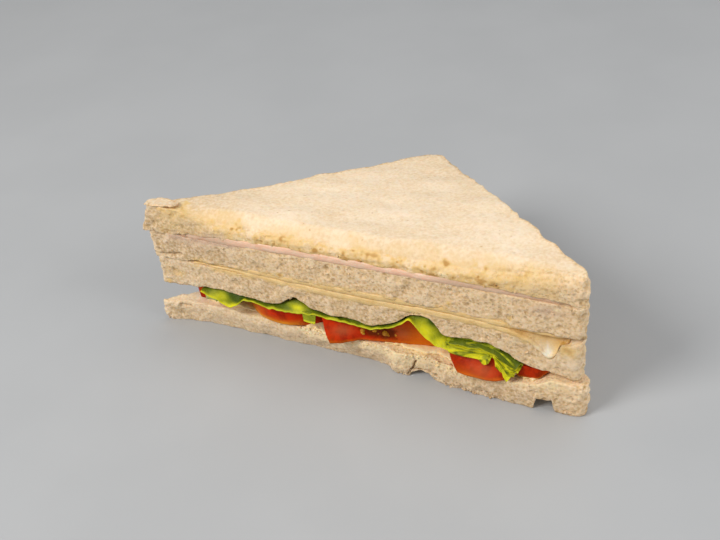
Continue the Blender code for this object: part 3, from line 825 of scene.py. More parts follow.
def bread_material():
    """Crumb and skin of soft white bread: pale, with painted shade in its pores, cracks and grooves, painted
    highlights on raised crumb, toasted flecks and stains of filling.
    """
    s = Shading("soft_bread")
    crumb, pit, toast = s.mask("crumb"), s.mask("pit"), s.mask("toast")
    smear, cream, light, warm = s.mask("smear"), s.mask("cream"), s.mask("light"), s.mask("warm")
    broad = s.patches(14.0, 0.32, 0.68)
    middle = s.patches(3.0)
    fine = s.patches(1.1, 0.38, 0.62, 2.0)
    small_cells = s.cells(1.1, "F1", 1.1)
    large_cells = s.cells(2.0, "F1", 1.8)
    tone = s.tree.nodes.new("ShaderNodeSeparateColor")
    s.link(large_cells.outputs["Color"], tone.inputs["Color"])
    chosen = s.between(tone.outputs["Red"], 0.45, 0.75)
    small_pores = s.between(small_cells.outputs["Distance"], 0.10, 0.60, 1.0, 0.0)
    all_large_pores = s.between(large_cells.outputs["Distance"], 0.10, 0.50, 1.0, 0.0)
    large_pores = s.maths("MULTIPLY", all_large_pores, chosen)
    skin = s.mix(broad, (0.82, 0.63, 0.42), (0.91, 0.74, 0.54))
    skin = s.mix(warm, (0.66, 0.47, 0.28), skin)
    skin = s.mix(middle, skin, (0.79, 0.59, 0.36), 0.4)
    skin = s.mix(fine, skin, (0.93, 0.79, 0.61), 0.45)
    # Painted shade in the pores of the skin.
    skin = s.mix(small_pores, skin, (0.74, 0.52, 0.27), 0.26)
    skin = s.mix(large_pores, skin, (0.64, 0.40, 0.17), 0.2)
    speck = s.maths("MULTIPLY", s.between(large_cells.outputs["Distance"], 0.05, 0.22, 1.0, 0.0),
                    s.between(tone.outputs["Green"], 0.90, 0.95))
    skin = s.mix(speck, skin, (0.46, 0.22, 0.06), 0.55)
    inside = s.mix(warm, (0.48, 0.325, 0.18), (0.82, 0.57, 0.31))
    inside = s.mix(middle, inside, (0.84, 0.61, 0.345), 0.4)
    inside = s.mix(fine, inside, (0.95, 0.75, 0.53), 0.55)
    # Painted shade in the pores of the crumb.
    inside = s.mix(small_pores, inside, (0.42, 0.25, 0.09), 0.42)
    inside = s.mix(large_pores, inside, (0.34, 0.19, 0.065), 0.55)
    colour = s.mix(crumb, skin, inside)
    # Painted highlight on raised crumb and torn spots, and painted light on the foot of the bottom slice.
    colour = s.mix(light, colour, (0.95, 0.76, 0.53), 0.42)
    # Painted shade in deep pores, cracks, the dent and a small hole.
    colour = s.mix(pit, colour, (0.34, 0.20, 0.07), 0.5)
    colour = s.mix(smear, colour, (0.62, 0.43, 0.32))
    colour = s.mix(s.between(toast, 0.0, 0.6), colour, (0.78, 0.53, 0.21), 0.85)
    colour = s.mix(s.between(toast, 0.5, 1.0), colour, (0.46, 0.22, 0.05), 0.8)
    colour = s.mix(cream, colour, s.mix(small_pores, CREAM, (0.80, 0.58, 0.30), 0.5))
    holes = s.maths("ADD", s.maths("MULTIPLY", small_pores, -0.5), s.maths("MULTIPLY", large_pores, -0.8))
    relief = s.relief(0.9, s.between(crumb, 0.0, 1.0, 0.06, 0.20), holes)
    return s.finish(Base_Color=colour, Roughness=s.between(cream, 0.0, 1.0, 0.9, 0.55), Normal=relief,
                    Subsurface_Weight=0.3, Subsurface_Radius=(0.0012, 0.0008, 0.0005), Specular_IOR_Level=0.2)


def cheese_material():
    """Smooth sliced cheese: pale yellow, darker and more amber beside the fold at the right, with a painted
    highlight on the tip of the fold.
    """
    s = Shading("sliced_cheese")
    streak = s.patches(1.0, 0.4, 0.7, 3.0, (0.25, 1.0, 3.0))
    colour = s.mix(s.patches(6.0), (0.73, 0.48, 0.185), (0.81, 0.57, 0.26))
    colour = s.mix(streak, colour, (0.87, 0.66, 0.34), 0.5)
    colour = s.mix(s.patches(0.8, 0.5, 0.7), colour, (0.62, 0.40, 0.15), 0.4)
    colour = s.mix(s.mask("amber"), colour, (0.58, 0.30, 0.06))
    # Painted highlight on the tip of the fold.
    colour = s.mix(s.mask("cream"), colour, (0.97, 0.91, 0.76))
    return s.finish(Base_Color=colour, Roughness=0.42, Normal=s.relief(0.7, 0.12), Subsurface_Weight=0.25,
                    Subsurface_Radius=(0.002, 0.0014, 0.0006), Specular_IOR_Level=0.35)


def ham_material():
    """Moist cooked ham: pale pink with lighter streaks, beige to brown where it is thin."""
    s = Shading("cooked_ham")
    streak = s.patches(0.9, 0.42, 0.7, 3.0, (0.3, 1.0, 2.0))
    colour = s.mix(s.patches(7.0), (0.85, 0.50, 0.33), (0.90, 0.59, 0.41))
    colour = s.mix(streak, colour, (0.95, 0.74, 0.56), 0.5)
    colour = s.mix(s.mask("brown"), colour, (0.62, 0.42, 0.28), 0.85)
    return s.finish(Base_Color=colour, Roughness=0.4, Normal=s.relief(0.5, 0.12), Subsurface_Weight=0.2,
                    Subsurface_Radius=(0.003, 0.001, 0.0007), Specular_IOR_Level=0.35)


def lettuce_material():
    """Crisp lettuce: green, with painted shade, dark green, in its hollows and folds, and a painted glow,
    bright yellow-green, where light comes through and on its lit faces.
    """
    s = Shading("lettuce")
    vein = s.between(s.cells(2.4, "DISTANCE_TO_EDGE", 1.5).outputs["Distance"], 0.0, 0.10, 1.0, 0.0)
    fine = s.patches(0.8)
    colour = s.mix(s.patches(2.2), (0.28, 0.34, 0.010), (0.44, 0.48, 0.015))
    # Painted glow where light comes through the leaf and on its lit faces.
    colour = s.mix(s.mask("bright"), colour, (0.74, 0.68, 0.010))
    colour = s.mix(vein, colour, (0.70, 0.72, 0.12), 0.15)
    colour = s.mix(fine, colour, (0.76, 0.74, 0.06), 0.12)
    colour = s.mix(s.mask("pale"), colour, (0.40, 0.42, 0.16))
    # Painted shade in hollows, folds and under the bread.
    colour = s.mix(s.mask("dark"), colour, (0.030, 0.065, 0.002), 0.92)
    relief = s.relief(1.0, 0.12, s.maths("MULTIPLY", vein, -0.4))
    return s.finish(Base_Color=colour, Roughness=0.5, Normal=relief, Subsurface_Weight=0.2,
                    Subsurface_Radius=(0.0010, 0.0012, 0.0002), Specular_IOR_Level=0.15)


def tomato_material():
    """Cut tomato: wet red flesh, a darker gel with seeds, a painted orange glow along the rind at its edge,
    two painted highlights and painted shade on the fifth piece.
    """
    s = Shading("tomato")
    patch = s.patches(3.0)
    fine = s.patches(0.6, 0.4, 0.7)
    colour = s.mix(patch, (0.34, 0.011, 0.001), (0.60, 0.026, 0.001))
    # Orange flesh, with a painted glow at the left end of the second piece.
    colour = s.mix(s.mask("orange"), colour, (0.72, 0.150, 0.005))
    colour = s.mix(fine, colour, (0.58, 0.06, 0.006), 0.2)
    # Pale flesh, with two painted highlights.
    colour = s.mix(s.mask("flesh"), colour, (0.54, 0.13, 0.045))
    # Dark gel, and painted shade over the fifth piece.
    colour = s.mix(s.mask("gel"), colour, (0.17, 0.022, 0.002))
    # Painted glow of the rind.
    colour = s.mix(s.mask("rind"), colour, (0.86, 0.32, 0.02))
    return s.finish(Base_Color=colour, Roughness=0.36, Normal=s.relief(0.8, 0.10), Subsurface_Weight=0.1,
                    Subsurface_Radius=(0.002, 0.0004, 0.0002), Specular_IOR_Level=0.06)


def seed_material():
    """Tomato seeds in their jelly: translucent amber yellow."""
    s = Shading("tomato_seed")
    colour = s.mix(s.patches(0.8), (0.42, 0.16, 0.008), (0.64, 0.30, 0.02))
    return s.finish(Base_Color=colour, Roughness=0.3, Normal=s.relief(0.4, 0.05), Specular_IOR_Level=0.2,
                    Subsurface_Weight=0.2, Subsurface_Radius=(0.001, 0.0006, 0.0002))


def spread_material():
    """Creamy spread: off-white and satin, with a few soft lumps."""
    s = Shading("creamy_spread")
    colour = s.mix(s.patches(3.0), (0.90, 0.67, 0.34), CREAM)
    return s.finish(Base_Color=colour, Roughness=0.55, Normal=s.relief(0.8, 0.2), Subsurface_Weight=0.3,
                    Subsurface_Radius=(0.002, 0.0015, 0.0008), Specular_IOR_Level=0.35)


# ---- Bread ----


def near_cut(y, start=1.0, fade=5.0):
    """1 close to the cut, fading to 0 further back."""
    return 1.0 - ease((y - start) / fade)


def spot(points, x, z, wide, tall):
    """Soft round mark on the cut face, 1 in its middle."""
    near = near_cut(points[:, 1], 6.0)
    return np.exp(-(((points[:, 0] - x) / wide) ** 2) - ((points[:, 2] - z) / tall) ** 2) * near


def spots(points, *marks):
    """Several such marks, each as x, z, half width, half height and strength."""
    return np.max([strength * spot(points, *place) for *place, strength in marks], axis=0)


def groove(points, path, wide=0.55):
    """1 along a line on the cut face through these (x, z) places, fading to 0 a little beside it."""
    place = points[:, [0, 2]] + 0.35 * np.stack([noise(points, 1.4, 98), noise(points, 1.4, 99)], axis=1)
    near = np.full(len(points), np.inf)
    for start, end in zip(np.array(path[:-1]), np.array(path[1:])):
        part = np.clip((place - start) @ (end - start) / np.dot(end - start, end - start), 0.0, 1.0)
        away = np.linalg.norm(place - start - part[:, None] * (end - start), axis=1)
        near = np.minimum(near, away)
    return 1.0 - ease(near / wide - 0.4)


def roughen(form, depth, seed, warm, lip=None):
    """Turns a smooth slice into crumb: pores and torn bits on its wall, a fine skin on its faces."""
    p = form.points
    edge = 1.0 - ease(depth / 1.6)
    crumb = edge if lip is None else np.maximum(edge, lip(p))
    long = p * (0.8, 1.0, 1.15)
    big = pores(long, 3.2, 0.13, seed)
    small = pores(long, 1.7, 0.38, seed + 10)
    torn = 0.22 * noise(p, 4.2, seed) + 0.15 * noise(p, 1.9, seed + 1) + 0.05 * noise(p, 0.95, seed + 2)
    ends = ease((p[:, 0] - 70.0) / 5.0) + ease((-66.0 - p[:, 0]) / 5.0)
    ragged_end = ends * (0.45 * noise(p, 2.6, seed + 6) + 0.32 * noise(p, 1.2, seed + 7))
    wall = (torn - 0.5 * big - 0.28 * small) * (0.65 + 0.35 * near_cut(p[:, 1], 1.0, 3.0)) + ragged_end
    skin_pores = pores(p, 1.8, 0.2, seed + 30)
    plain = 0.16 * noise(p, 7.0, seed + 3) + 0.07 * noise(p, 2.2, seed + 4) - 0.12 * skin_pores
    form.push(edge * (wall + 0.1) + (1.0 - edge) * (plain + 0.3 * crumb * wall))
    nothing = np.zeros(len(p))
    form.masks.update(
        crumb=crumb,
        # Painted shade where the wall is pushed in, and in the skin's pores.
        pit=crumb * ease((-wall - 0.12) / 0.6) + (1.0 - crumb) * 0.25 * skin_pores,
        # Painted highlight where the wall stands out.
        light=crumb * ease((wall + 0.02) / 0.35),
        warm=np.clip(warm(p), 0.0, 1.0),
        toast=nothing,
        smear=nothing,
        cream=nothing,
    )


wall_uneven = ripple(12, 5.0, 16.0)


def torn_edge(level, round_foot=0.1, round_head=0.1):
    """Outward offset of the wall of the slice at this level: uneven, and rounded off below and above."""

    def offset(x, y, part):
        foot = round_foot * max(0.0, 1.0 - 2.5 * part) ** 2
        head = round_head * max(0.0, 2.5 * part - 1.5) ** 2
        return 0.22 * wall_uneven(x, y, level + SLICE_HEIGHT * part) - foot - head

    return offset


def rolled_edge(round_off):
    """Offset of a thin wall that is rounded above and below."""
    return lambda x, y, part: -round_off * np.abs(2.0 * part - 1.0) ** 2 * np.ones_like(x)


def flush(x):
    """A set-back, or an outward push of a foot, of nothing."""
    return np.zeros_like(x)


def beyond(x, y, left, right):
    """1 outside the sheets of filling, whose edges lie this far in from the legs, fading to 0 over them."""
    outside = np.zeros_like(x)
    for inside, inset in zip(inside_legs(x, y), (left, right)):
        outside = np.maximum(outside, 1.0 - ease((inside - inset + 1.5) / 2.0))
    return outside


def closing(below, above, left, right):
    """The two facing heights of neighbouring slices, which press together where no filling lies between."""

    def lower(x, y):
        gap = above(x, y) - below(x, y)
        return below(x, y) + PRESSED_SHARE * gap * beyond(x, y, left, right)

    def upper(x, y):
        gap = above(x, y) - below(x, y)
        return above(x, y) - PRESSED_SHARE * gap * beyond(x, y, left, right)

    return lower, upper


def golden(p, away, seed):
    """Uneven yellow tint of the crumb close to the cheese; away is minus the distance from it."""
    patchy = 0.25 + 0.5 * noise(p, 5.0, seed) + 0.3 * noise(p, 1.6, seed + 10)
    along = window(-60.0, 62.0, 16.0)(p[:, 0])
    return np.clip(patchy, 0.0, 0.5) * ease((away + 2.6) / 2.4) * near_cut(p[:, 1]) * along


def beside_tip(x, y):
    """How far the lower slice rises at the cut, right of the tip of the folded cheese."""
    right_of_tip = ease((x - FOLD_TIP_X) / 2.2) * near_cut(y, 2.0, 5.0)
    return right_of_tip * np.maximum(BESIDE_TIP_HEIGHT - lower_slice_top(x, y), 0.0)


def lower_slice_over_tip(x, y):
    """Upper side of the lower slice, raised beside the tip."""
    return lower_slice_top(x, y) + beside_tip(x, y)


lower_slice_upside, upper_slice_underside = closing(lower_slice_over_tip, upper_slice_bottom, *CHEESE_ENDS)
upper_slice_upside, top_slice_underside = closing(upper_slice_top, top_slice_bottom, *HAM_ENDS)


def slice_form(seed, insets, low, high, set_back, warm, edge, above=HIDDEN, lean=no_lean, lip=None):
    """One slice of bread; insets are how far its left and right legs lie inside the plan's."""
    rim = triangle(seed, set_back, *insets)
    rows = round(SLICE_HEIGHT / FINE)
    form, _, depth = layer(rim, low, high, rows, HIDDEN, above, edge, lean, seed)
    roughen(form, depth, 100 * seed, warm, lip)
    return form


def bottom_slice_cream(p):
    """Cream that has run down the cut, to about the height reach(x)."""
    ragged = 1.5 * noise(p, 3.0, 41) + 0.9 * noise(p, 1.2, 42)
    reach = curve(
        (-74, 9.4), (-26, 8.2), (-18, 5.2), (-12, 3.4), (-7, 3.8), (0, 4.8), (8, 4.0), (14, 3.0), (30, 4.2),
        (50, 6.8), (66, 9.4), (75, 11.5),
    )
    smeared = ease((p[:, 2] - reach(p[:, 0]) + ragged) / 1.8) * near_cut(p[:, 1], 7.0)
    patchy = 0.8 + 0.5 * noise(p, 2.6, 40)
    return np.clip(0.6 * smeared * patchy, 0.0, 0.8) * window(-62.0, 68.0, 8.0)(p[:, 0])


def bottom_slice_cracks(p):
    """Two cracks at the torn place and a shallow one near the left tip."""
    crack = groove(p, ((17.6, 1.2), (19.2, 3.8), (20.0, 6.6)), 0.36)
    crack += 0.8 * groove(p, ((18.2, 2.6), (23.0, 3.6), (27.0, 2.2)), 0.36)
    crack += 0.6 * groove(p, ((-69.5, 7.6), (-65.5, 7.0)), 0.3)
    return np.clip(crack, 0.0, 1.0) * near_cut(p[:, 1], 3.0)


def bottom_slice(material):
    """The bottom slice, which leans out under the tomato; also how frayed each point is."""
    set_back = curve(
        (-79, 0), (-67, 2.6), (-60, 3.5), (0, 3.3), (9, 2.5), (13, -0.3), (17, -0.4), (19.5, 0.9), (26, 0.8),
        (29.5, -0.7), (45, -1.5), (62, -1.8), (76, -0.8), soften=0.8,
    )

    def warm(p):
        ends = ease((p[:, 0] - 52.0) / 16.0) + ease((-12.0 - p[:, 0]) / 30.0)
        return 0.25 + 0.3 * ends + 0.45 * ease((p[:, 2] - 4.0) / 4.0)

    def lip(p):
        ragged = 1.6 * noise(p, 3.0, 47) + 0.8 * noise(p, 1.3, 48)
        return 0.9 * (1.0 - ease((p[:, 1] + ragged - 4.0) / 2.0)) * (p[:, 2] > 6.0)

    rough = torn_edge(0.0, 0.35, 0.25)
    overhang = curve((-74, 0.0), (-60, 0.9), (-24, 1.3), (-14, 1.7), (2, 1.5), (8, 1.0), (13, 0.0))

    def edge(x, y, part):
        return rough(x, y, part) + overhang(x) * ease(part / 0.8) * near_cut(y, 4.0, 3.0)

    faces = (bottom_slice_bottom, bottom_slice_top)
    form = slice_form(4, (-1.9, -0.8), *faces, set_back, warm, edge, lip=lip)
    p = form.points
    cream = bottom_slice_cream(p)
    torn = spots(p, (15.0, 1.5, 4.0, 4.0, 1.0), (27.0, 2.5, 5.0, 3.5, 1.0), (38.0, 1.0, 7.0, 2.5, 0.8))
    torn = torn * near_cut(p[:, 1], 3.0)
    form.push(torn * (0.55 * noise(p, 2.2, 49) + 0.45 * noise(p, 1.2, 50)))
    crack = bottom_slice_cracks(p)
    form.push(-1.1 * crack)
    form.points[:, 2] = np.maximum(form.points[:, 2], 0.0)
    # Painted shade in the cracks.
    form.masks["pit"] = np.maximum(form.masks["pit"], crack)
    # Painted light on the foot of the bottom slice and on its torn spots.
    painted_light_foot = window(-30.0, 12.0, 8.0)(p[:, 0]) * near_cut(p[:, 1], 4.0, 3.0)
    painted_lighter = np.maximum(0.7 * torn, 0.6 * painted_light_foot) * (1.0 - crack)
    form.masks["light"] = np.maximum(form.masks["light"], painted_lighter)
    form.masks["cream"] = cream * (1.0 - crack)
    form.masks["crumb"] *= 1.0 - 0.45 * ease((-8.0 - p[:, 0]) / 30.0)
    form.piece("bottom_slice", material, "bread", "bread_bottom")
    frayed = near_cut(p[:, 1], 3.0) * ease((p[:, 0] + 5.0) / 30.0) * (1.0 - ease((p[:, 2] - 1.0) / 3.0))
    frayed = 0.5 * frayed + 1.2 * window(30.0, 46.0, 4.0)(p[:, 0]) * (p[:, 2] < 2.5) * near_cut(p[:, 1])
    return form, frayed * form.masks["crumb"]


def lower_slice(material):
    """The slice between the lettuce and the cheese; also how frayed each point is."""

    def warm(p):
        return 0.5 + 0.4 * ease((p[:, 0] - 10.0) / 50.0)

    form = slice_form(3, (0.5, 0.5), lower_slice_bottom, lower_slice_upside, flush, warm, torn_edge(19.0))
    p = form.points
    stain = spots(p, (-66.0, 24.0, 5.0, 2.5, 0.35), (-70.0, 19.0, 1.6, 1.0, 0.7), (69.8, 24.8, 3.8, 2.6, 0.6))
    near_cheese = golden(p, p[:, 2] - lower_slice_top(p[:, 0], p[:, 1]), 45)
    form.masks["toast"] = np.clip(np.maximum(stain * (0.8 + 0.6 * noise(p, 1.5, 43)), near_cheese), 0.0, 1.0)
    smooth = np.maximum(spots(p, (69.5, 20.5, 5.5, 3.6, 0.6)), 0.35 * ease((-30.0 - p[:, 0]) / 30.0))
    form.masks["crumb"] *= 1.0 - smooth
    form.piece("lower_slice", material, "bread", "bread_lower")
    return form, 0.3 * form.masks["crumb"] * near_cut(p[:, 1])


def upper_slice(material):
    """The slice between the cheese and the ham; also how frayed each point is."""

    def warm(p):
        return 0.2 + 0.65 * ease((p[:, 0] + 66.0) / 50.0)

    form = slice_form(2, (0.0, 0.2), upper_slice_underside, upper_slice_upside, flush, warm, torn_edge(30.0))
    p = form.points
    near_cheese = golden(p, upper_slice_bottom(p[:, 0], p[:, 1]) - p[:, 2], 46)
    marks = spots(p, (-25.0, 31.8, 1.3, 0.9, 1.0), (33.0, 34.0, 1.0, 0.9, 0.7), (52.0, 33.0, 1.0, 0.8, 0.6))
    form.masks["toast"] = np.maximum(marks, near_cheese)
    under_ham = ease((p[:, 2] - upper_slice_top(p[:, 0], p[:, 1]) + 1.8 + 0.8 * noise(p, 2.5, 44)) / 1.5)
    smear = under_ham * window(-66.0, -40.0, 8.0)(p[:, 0]) * 0.75
    brown = spots(p, (63.0, 38.5, 6.0, 2.2, 0.5), (-58.0, 38.5, 9.0, 2.4, 0.45))
    form.masks["smear"] = np.clip(np.maximum(smear, brown) * near_cut(p[:, 1]), 0.0, 1.0)
    dent = groove(p, ((-73.0, 30.8), (-66.0, 31.2), (-62.5, 32.0))) * near_cut(p[:, 1], 3.0)
    form.push(-0.9 * dent)
    # Painted shade in the dent.
    form.masks["pit"] = np.maximum(form.masks["pit"], 0.8 * dent)
    form.masks["cream"] = spots(p, (66.0, 39.3, 1.0, 0.6, 0.9))
    form.piece("upper_slice", material, "bread", "bread_upper")
    return form, 0.3 * form.masks["crumb"] * near_cut(p[:, 1])


def browned_band(p):
    """1 along the middle of the front edge of the top, fading to 0 towards its ends and further back."""
    return near_cut(p[:, 1], 0.5, 2.6) * window(-44.0, 54.0, 14.0)(p[:, 0])


def browning(p):
    """Toasted blotches, flecks and dots along the front of the top, with a soft glow round them."""
    marks = spots(
        p,
        (-60.0, 48.6, 4.0, 1.2, 0.7), (-67.0, 49.4, 3.0, 0.8, 0.6), (-38.5, 46.0, 2.6, 2.4, 0.8),
        (-47.0, 46.5, 3.0, 1.2, 0.5), (-23.0, 45.3, 2.6, 0.9, 0.6), (-11.0, 44.8, 2.4, 0.8, 0.6),
        (3.0, 45.6, 5.0, 0.9, 0.5), (20.0, 46.4, 5.0, 0.9, 0.45), (31.5, 46.8, 1.9, 1.3, 0.85),
        (43.0, 48.0, 4.5, 0.9, 0.6), (56.0, 48.6, 4.0, 1.0, 0.4),
    )
    grain = 0.55 * noise(p, 2.4, 63) + 0.4 * noise(p, 1.0, 62)
    blotches = 0.62 * ease((marks + 0.9 * grain - 0.35) / 0.6) * np.sqrt(marks)
    band = browned_band(p)
    flecks = 0.5 * band * ease((grain + 0.2) / 0.6)
    dots = 0.9 * band * pores(p, 1.5, 0.16, 69) * (p[:, 2] < 46.5)
    patchy = 0.5 + 0.4 * noise(p, 7.0, 67) + 0.25 * noise(p, 2.6, 68)
    glow = 0.5 * patchy * near_cut(p[:, 1], 1.0, 10.0) * window(-70.0, 66.0, 16.0)(p[:, 0])
    from_leg = np.minimum(*inside_legs(p[:, 0], p[:, 1]))
    edges = 0.16 * patchy * (1.0 - ease(from_leg / 14.0)) * (p[:, 2] > 40.0)
    return np.clip(np.maximum(blotches + flecks, dots) + np.maximum(glow, edges), 0.0, 1.0)


def top_slice(material):
    """The top slice: its left tip leans, and its front rounds over from torn crumb to the smooth top.

    It also gives how frayed each point is.
    """
    rough = torn_edge(41.0, 0.1, 0.3)
    tip_span = window(-90.0, -66.0, 14.0)
    pinched = window(-52.0, 46.0, 14.0)
    rounded = window(46.0, 90.0, 14.0)

    def high(x, y):
        return top_slice_top(x, y) - 0.9 * rounded(x) * (1.0 - ease((y + 0.5) / 3.2))

    def edge(x, y, part):
        head = max(0.0, (part - 0.4) / 0.6)
        return rough(x, y, part) - (0.9 * pinched(x) + 1.3 * rounded(x)) * head ** 3 * near_cut(y)

    def lean(x, y, part):
        return TIP_LEAN * (part - 0.5) * tip_span(x), np.zeros_like(x)

    def lip(p):
        ragged = 1.1 * noise(p, 3.0, 64) + 0.6 * noise(p, 1.2, 65)
        deep = 1.2 + 1.6 * rounded(p[:, 0])
        along = np.maximum(pinched(p[:, 0]), rounded(p[:, 0]))
        return 0.75 * (1.0 - ease((p[:, 1] + ragged - deep) / 2.4)) * along

    def warm(p):
        return 1.0 - 0.9 * ease((-30.0 - p[:, 0]) / 30.0) - 0.45 * ease((p[:, 1] - 34.0) / 32.0)

    faces = (top_slice_underside, high)
    form = slice_form(1, (-0.7, 0.0), *faces, flush, warm, edge, SHOWN, lean, lip)
    p = form.points
    form.masks["toast"] = browning(p)
    # A small hole drawn only as painted shade, with no hole in the mesh.
    hole = spots(p, (-37.0, 46.3, 0.8, 0.6, 1.0))
    form.masks["pit"] = np.maximum(form.masks["pit"] * (1.0 - 0.6 * browned_band(p)), hole)
    form.masks["crumb"] *= 1.0 - 0.5 * ease((p[:, 2] - 43.0) / 4.0) * (1.0 - rounded(p[:, 0]))
    form.masks["cream"] = spots(p, (-36.5, 43.4, 3.4, 0.8, 0.9), (31.5, 44.6, 1.2, 0.9, 0.9))
    over_ham = p[:, 2] - top_slice_bottom(p[:, 0], p[:, 1])
    stained = 1.0 - ease((over_ham - 0.9 + 0.6 * noise(p, 2.0, 66)) / 1.2)
    form.masks["smear"] = 0.4 * stained * near_cut(p[:, 1]) * window(-64.0, -36.0, 12.0)(p[:, 0])
    form.piece("top_slice", material, "bread", "bread_top")
    lower_edge = near_cut(p[:, 1]) * (1.0 - ease((p[:, 2] - 44.0) / 2.4)) * form.masks["crumb"]
    return form, lower_edge * (0.3 + pinched(p[:, 0]))


def tip_flake(material):
    """Thin loose flake of the top face at the left tip, lifted a little at its inner end."""
    lift = curve((-75.0, -0.4), (-70.0, 0.1), (-62.0, 0.9), (-58.0, 1.3))
    limits = [(0, -1, 0.3), (0.35, 1, -17.6), (-1, 0, 73.5), leg_limits(-0.9)[0]]
    rim = cut_piece((-67.5, 2.6), 5.8, limits)
    wave = ripple(51, 3.0, 7.0)(rim[:, 0], rim[:, 1])
    rim = rim + outward(rim) * (0.45 * wave + 0.3 * rim_noise(rim, 2.0, 51))[:, None]

    def low(x, y):
        return top_slice_top(x, y) + lift(x) - 0.05 * y

    def high(x, y):
        return low(x, y) + FLAKE_THICKNESS

    bands = ((EVERYWHERE, FINE),)
    form, parts, depth = layer(rim, low, high, 3, bands, bands, rolled_edge(0.2), no_lean, 51)
    roughen(form, depth, 510, lambda p: np.full(len(p), 0.6))
    form.masks["toast"] = 0.35 * (1.0 - ease(parts / 0.6))
    form.piece("peeled_flake", material, "bread")


def small_ball():
    """Points and triangles of a coarse ball of radius 1."""
    made = bmesh.new()
    bmesh.ops.create_icosphere(made, subdivisions=2, radius=1.0)
    points = np.array([vertex.co[:] for vertex in made.verts])
    triangles = np.array([[vertex.index for vertex in face.verts] for face in made.faces])
    made.free()
    return points, triangles


def lumps(places, sizes, squash, uneven, seed):
    """Small irregular balls, one at each place, as one form. squash is how flat they may be."""
    ball, triangles = small_ball()
    draw = np.random.default_rng(seed)
    count = len(places)
    turns = np.linalg.qr(draw.normal(size=(count, 3, 3)))[0]
    turns *= np.sign(np.linalg.det(turns))[:, None, None]
    shape = ball[None] * draw.uniform(1.0 - uneven, 1.0 + uneven, (count, len(ball), 1))
    shape = shape * (squash + (1.0 - squash) * draw.uniform(0.0, 1.0, (count, 1, 3)) ** 2)
    points = np.einsum("nij,njk->nik", shape, turns) * sizes[:, None, None] + places[:, None]
    faces = triangles[None] + len(ball) * np.arange(count)[:, None, None]
    return Form(points.reshape(-1, 3), faces.reshape(-1, 3), {})


def loose_crumbs(material, edges):
    """Torn crumbs that cling to the slices; edges are (form, how likely a crumb is at each point, count)."""
    draw = np.random.default_rng(52)
    all_crumbs = Form(np.zeros((0, 3)), np.zeros((0, 3), int), {})
    for form, likely, count in edges:
        chosen = draw.choice(len(form.points), count, p=likely / likely.sum())
        sizes = draw.uniform(0.3, 0.9, count)
        places = form.points[chosen] - form.normals()[chosen] * (0.12 * sizes)[:, None]
        crumbs = lumps(places, sizes, 0.12, 0.35, count)
        crumbs.points[:, 2] = np.maximum(crumbs.points[:, 2], 0.02)
        each = len(crumbs.points) // count
        for mask in ("warm", "toast", "cream", "smear"):
            crumbs.masks[mask] = np.repeat(form.masks[mask][chosen] * draw.uniform(0.7, 1.2, count), each)
        crumbs.masks["crumb"] = np.ones(count * each)
        # Painted highlight, of random strength, on each crumb.
        crumbs.masks["light"] = np.repeat(draw.uniform(0.0, 0.5, count), each)
        crumbs.masks["pit"] = np.zeros(count * each)
        all_crumbs.add(crumbs)
    all_crumbs.piece("clinging_crumbs", material, "bread")


# ---- Fillings ----


def sheet_form(seed, low, high, insets, set_back, wave, rows):
    """A thin layer over the whole triangle, its legs set in from the bread's; also each point's level."""
    rim = triangle(seed, set_back, *insets, wave=wave)
    form, parts, _ = layer(rim, low, high, rows, HIDDEN, HIDDEN, rolled_edge(0.3), no_lean, seed)
    return form, parts


def wavering(plain, amount, waver):
    """A set-back along the cut, with these waves added."""
    return lambda x: plain(x) + amount * waver(x, 0.0)


def front_places(form, marks):
    """The frontmost points of a form near these places (x, z) on the cut face."""
    p = form.points
    found = []
    for x, z in marks:
        away = (p[:, 0] - x) ** 2 + (p[:, 2] - z) ** 2 + 0.02 * (p[:, 1] + 6.0) ** 2
        near = p[np.argsort(away)[:3]]
        found.append(near[np.argmin(near[:, 1])])
    return np.array(found)


def spread(material, bread_form):
    """The spread on the bottom slice, with soft lumps of it along the cut."""

    def low(x, y):
        return bottom_slice_top(x, y) + 0.05

    plain = curve(
        (-76, 2.0), (-60, 5.0), (-24, 4.4), (-20, 3.4), (-13, 1.2), (-6, 1.0), (2, 3.6), (12, 3.4), (28, 2.4),
        (36, 0.8), (48, 1.2), (75, 1.0),
    )
    set_back = wavering(plain, 0.9, ripple(58, 3.0, 8.0))
    form, _ = sheet_form(21, low, spread_top, (9.0, 9.5), set_back, 1.0, 4)
    form.push(0.35 * noise(form.points, 2.4, 71) + 0.28 * noise(form.points, 1.1, 72))
    draw = np.random.default_rng(53)
    runs = ((-22.0, 6.0, 34), (4.0, 50.0, 40), (-38.0, -14.0, 10))
    x = np.concatenate([draw.uniform(start, end, count) for start, end, count in runs])
    z = bottom_slice_top(x, 0.0 * x) + 0.5 - draw.uniform(0.0, 1.6, len(x)) ** 2
    places = front_places(bread_form, np.stack([x, z], axis=1))
    soft = lumps(places, draw.uniform(0.4, 1.0, len(x)), 0.2, 0.3, 54)
    form.add(soft)
    form.piece("creamy_spread", material, "spread", "spread")


def pressed(x, y):
    """1 where the knife has pressed the two cheese sheets together and over the bread's edges."""
    return near_cut(y, 0.8, 1.8) * window(-40.0, 51.0, 10.0)(x)


def between_sheets(x, y):
    """Height at which the two sheets meet at the cut."""
    return (lower_slice_top(x, y) + upper_slice_bottom(x, y)) / 2


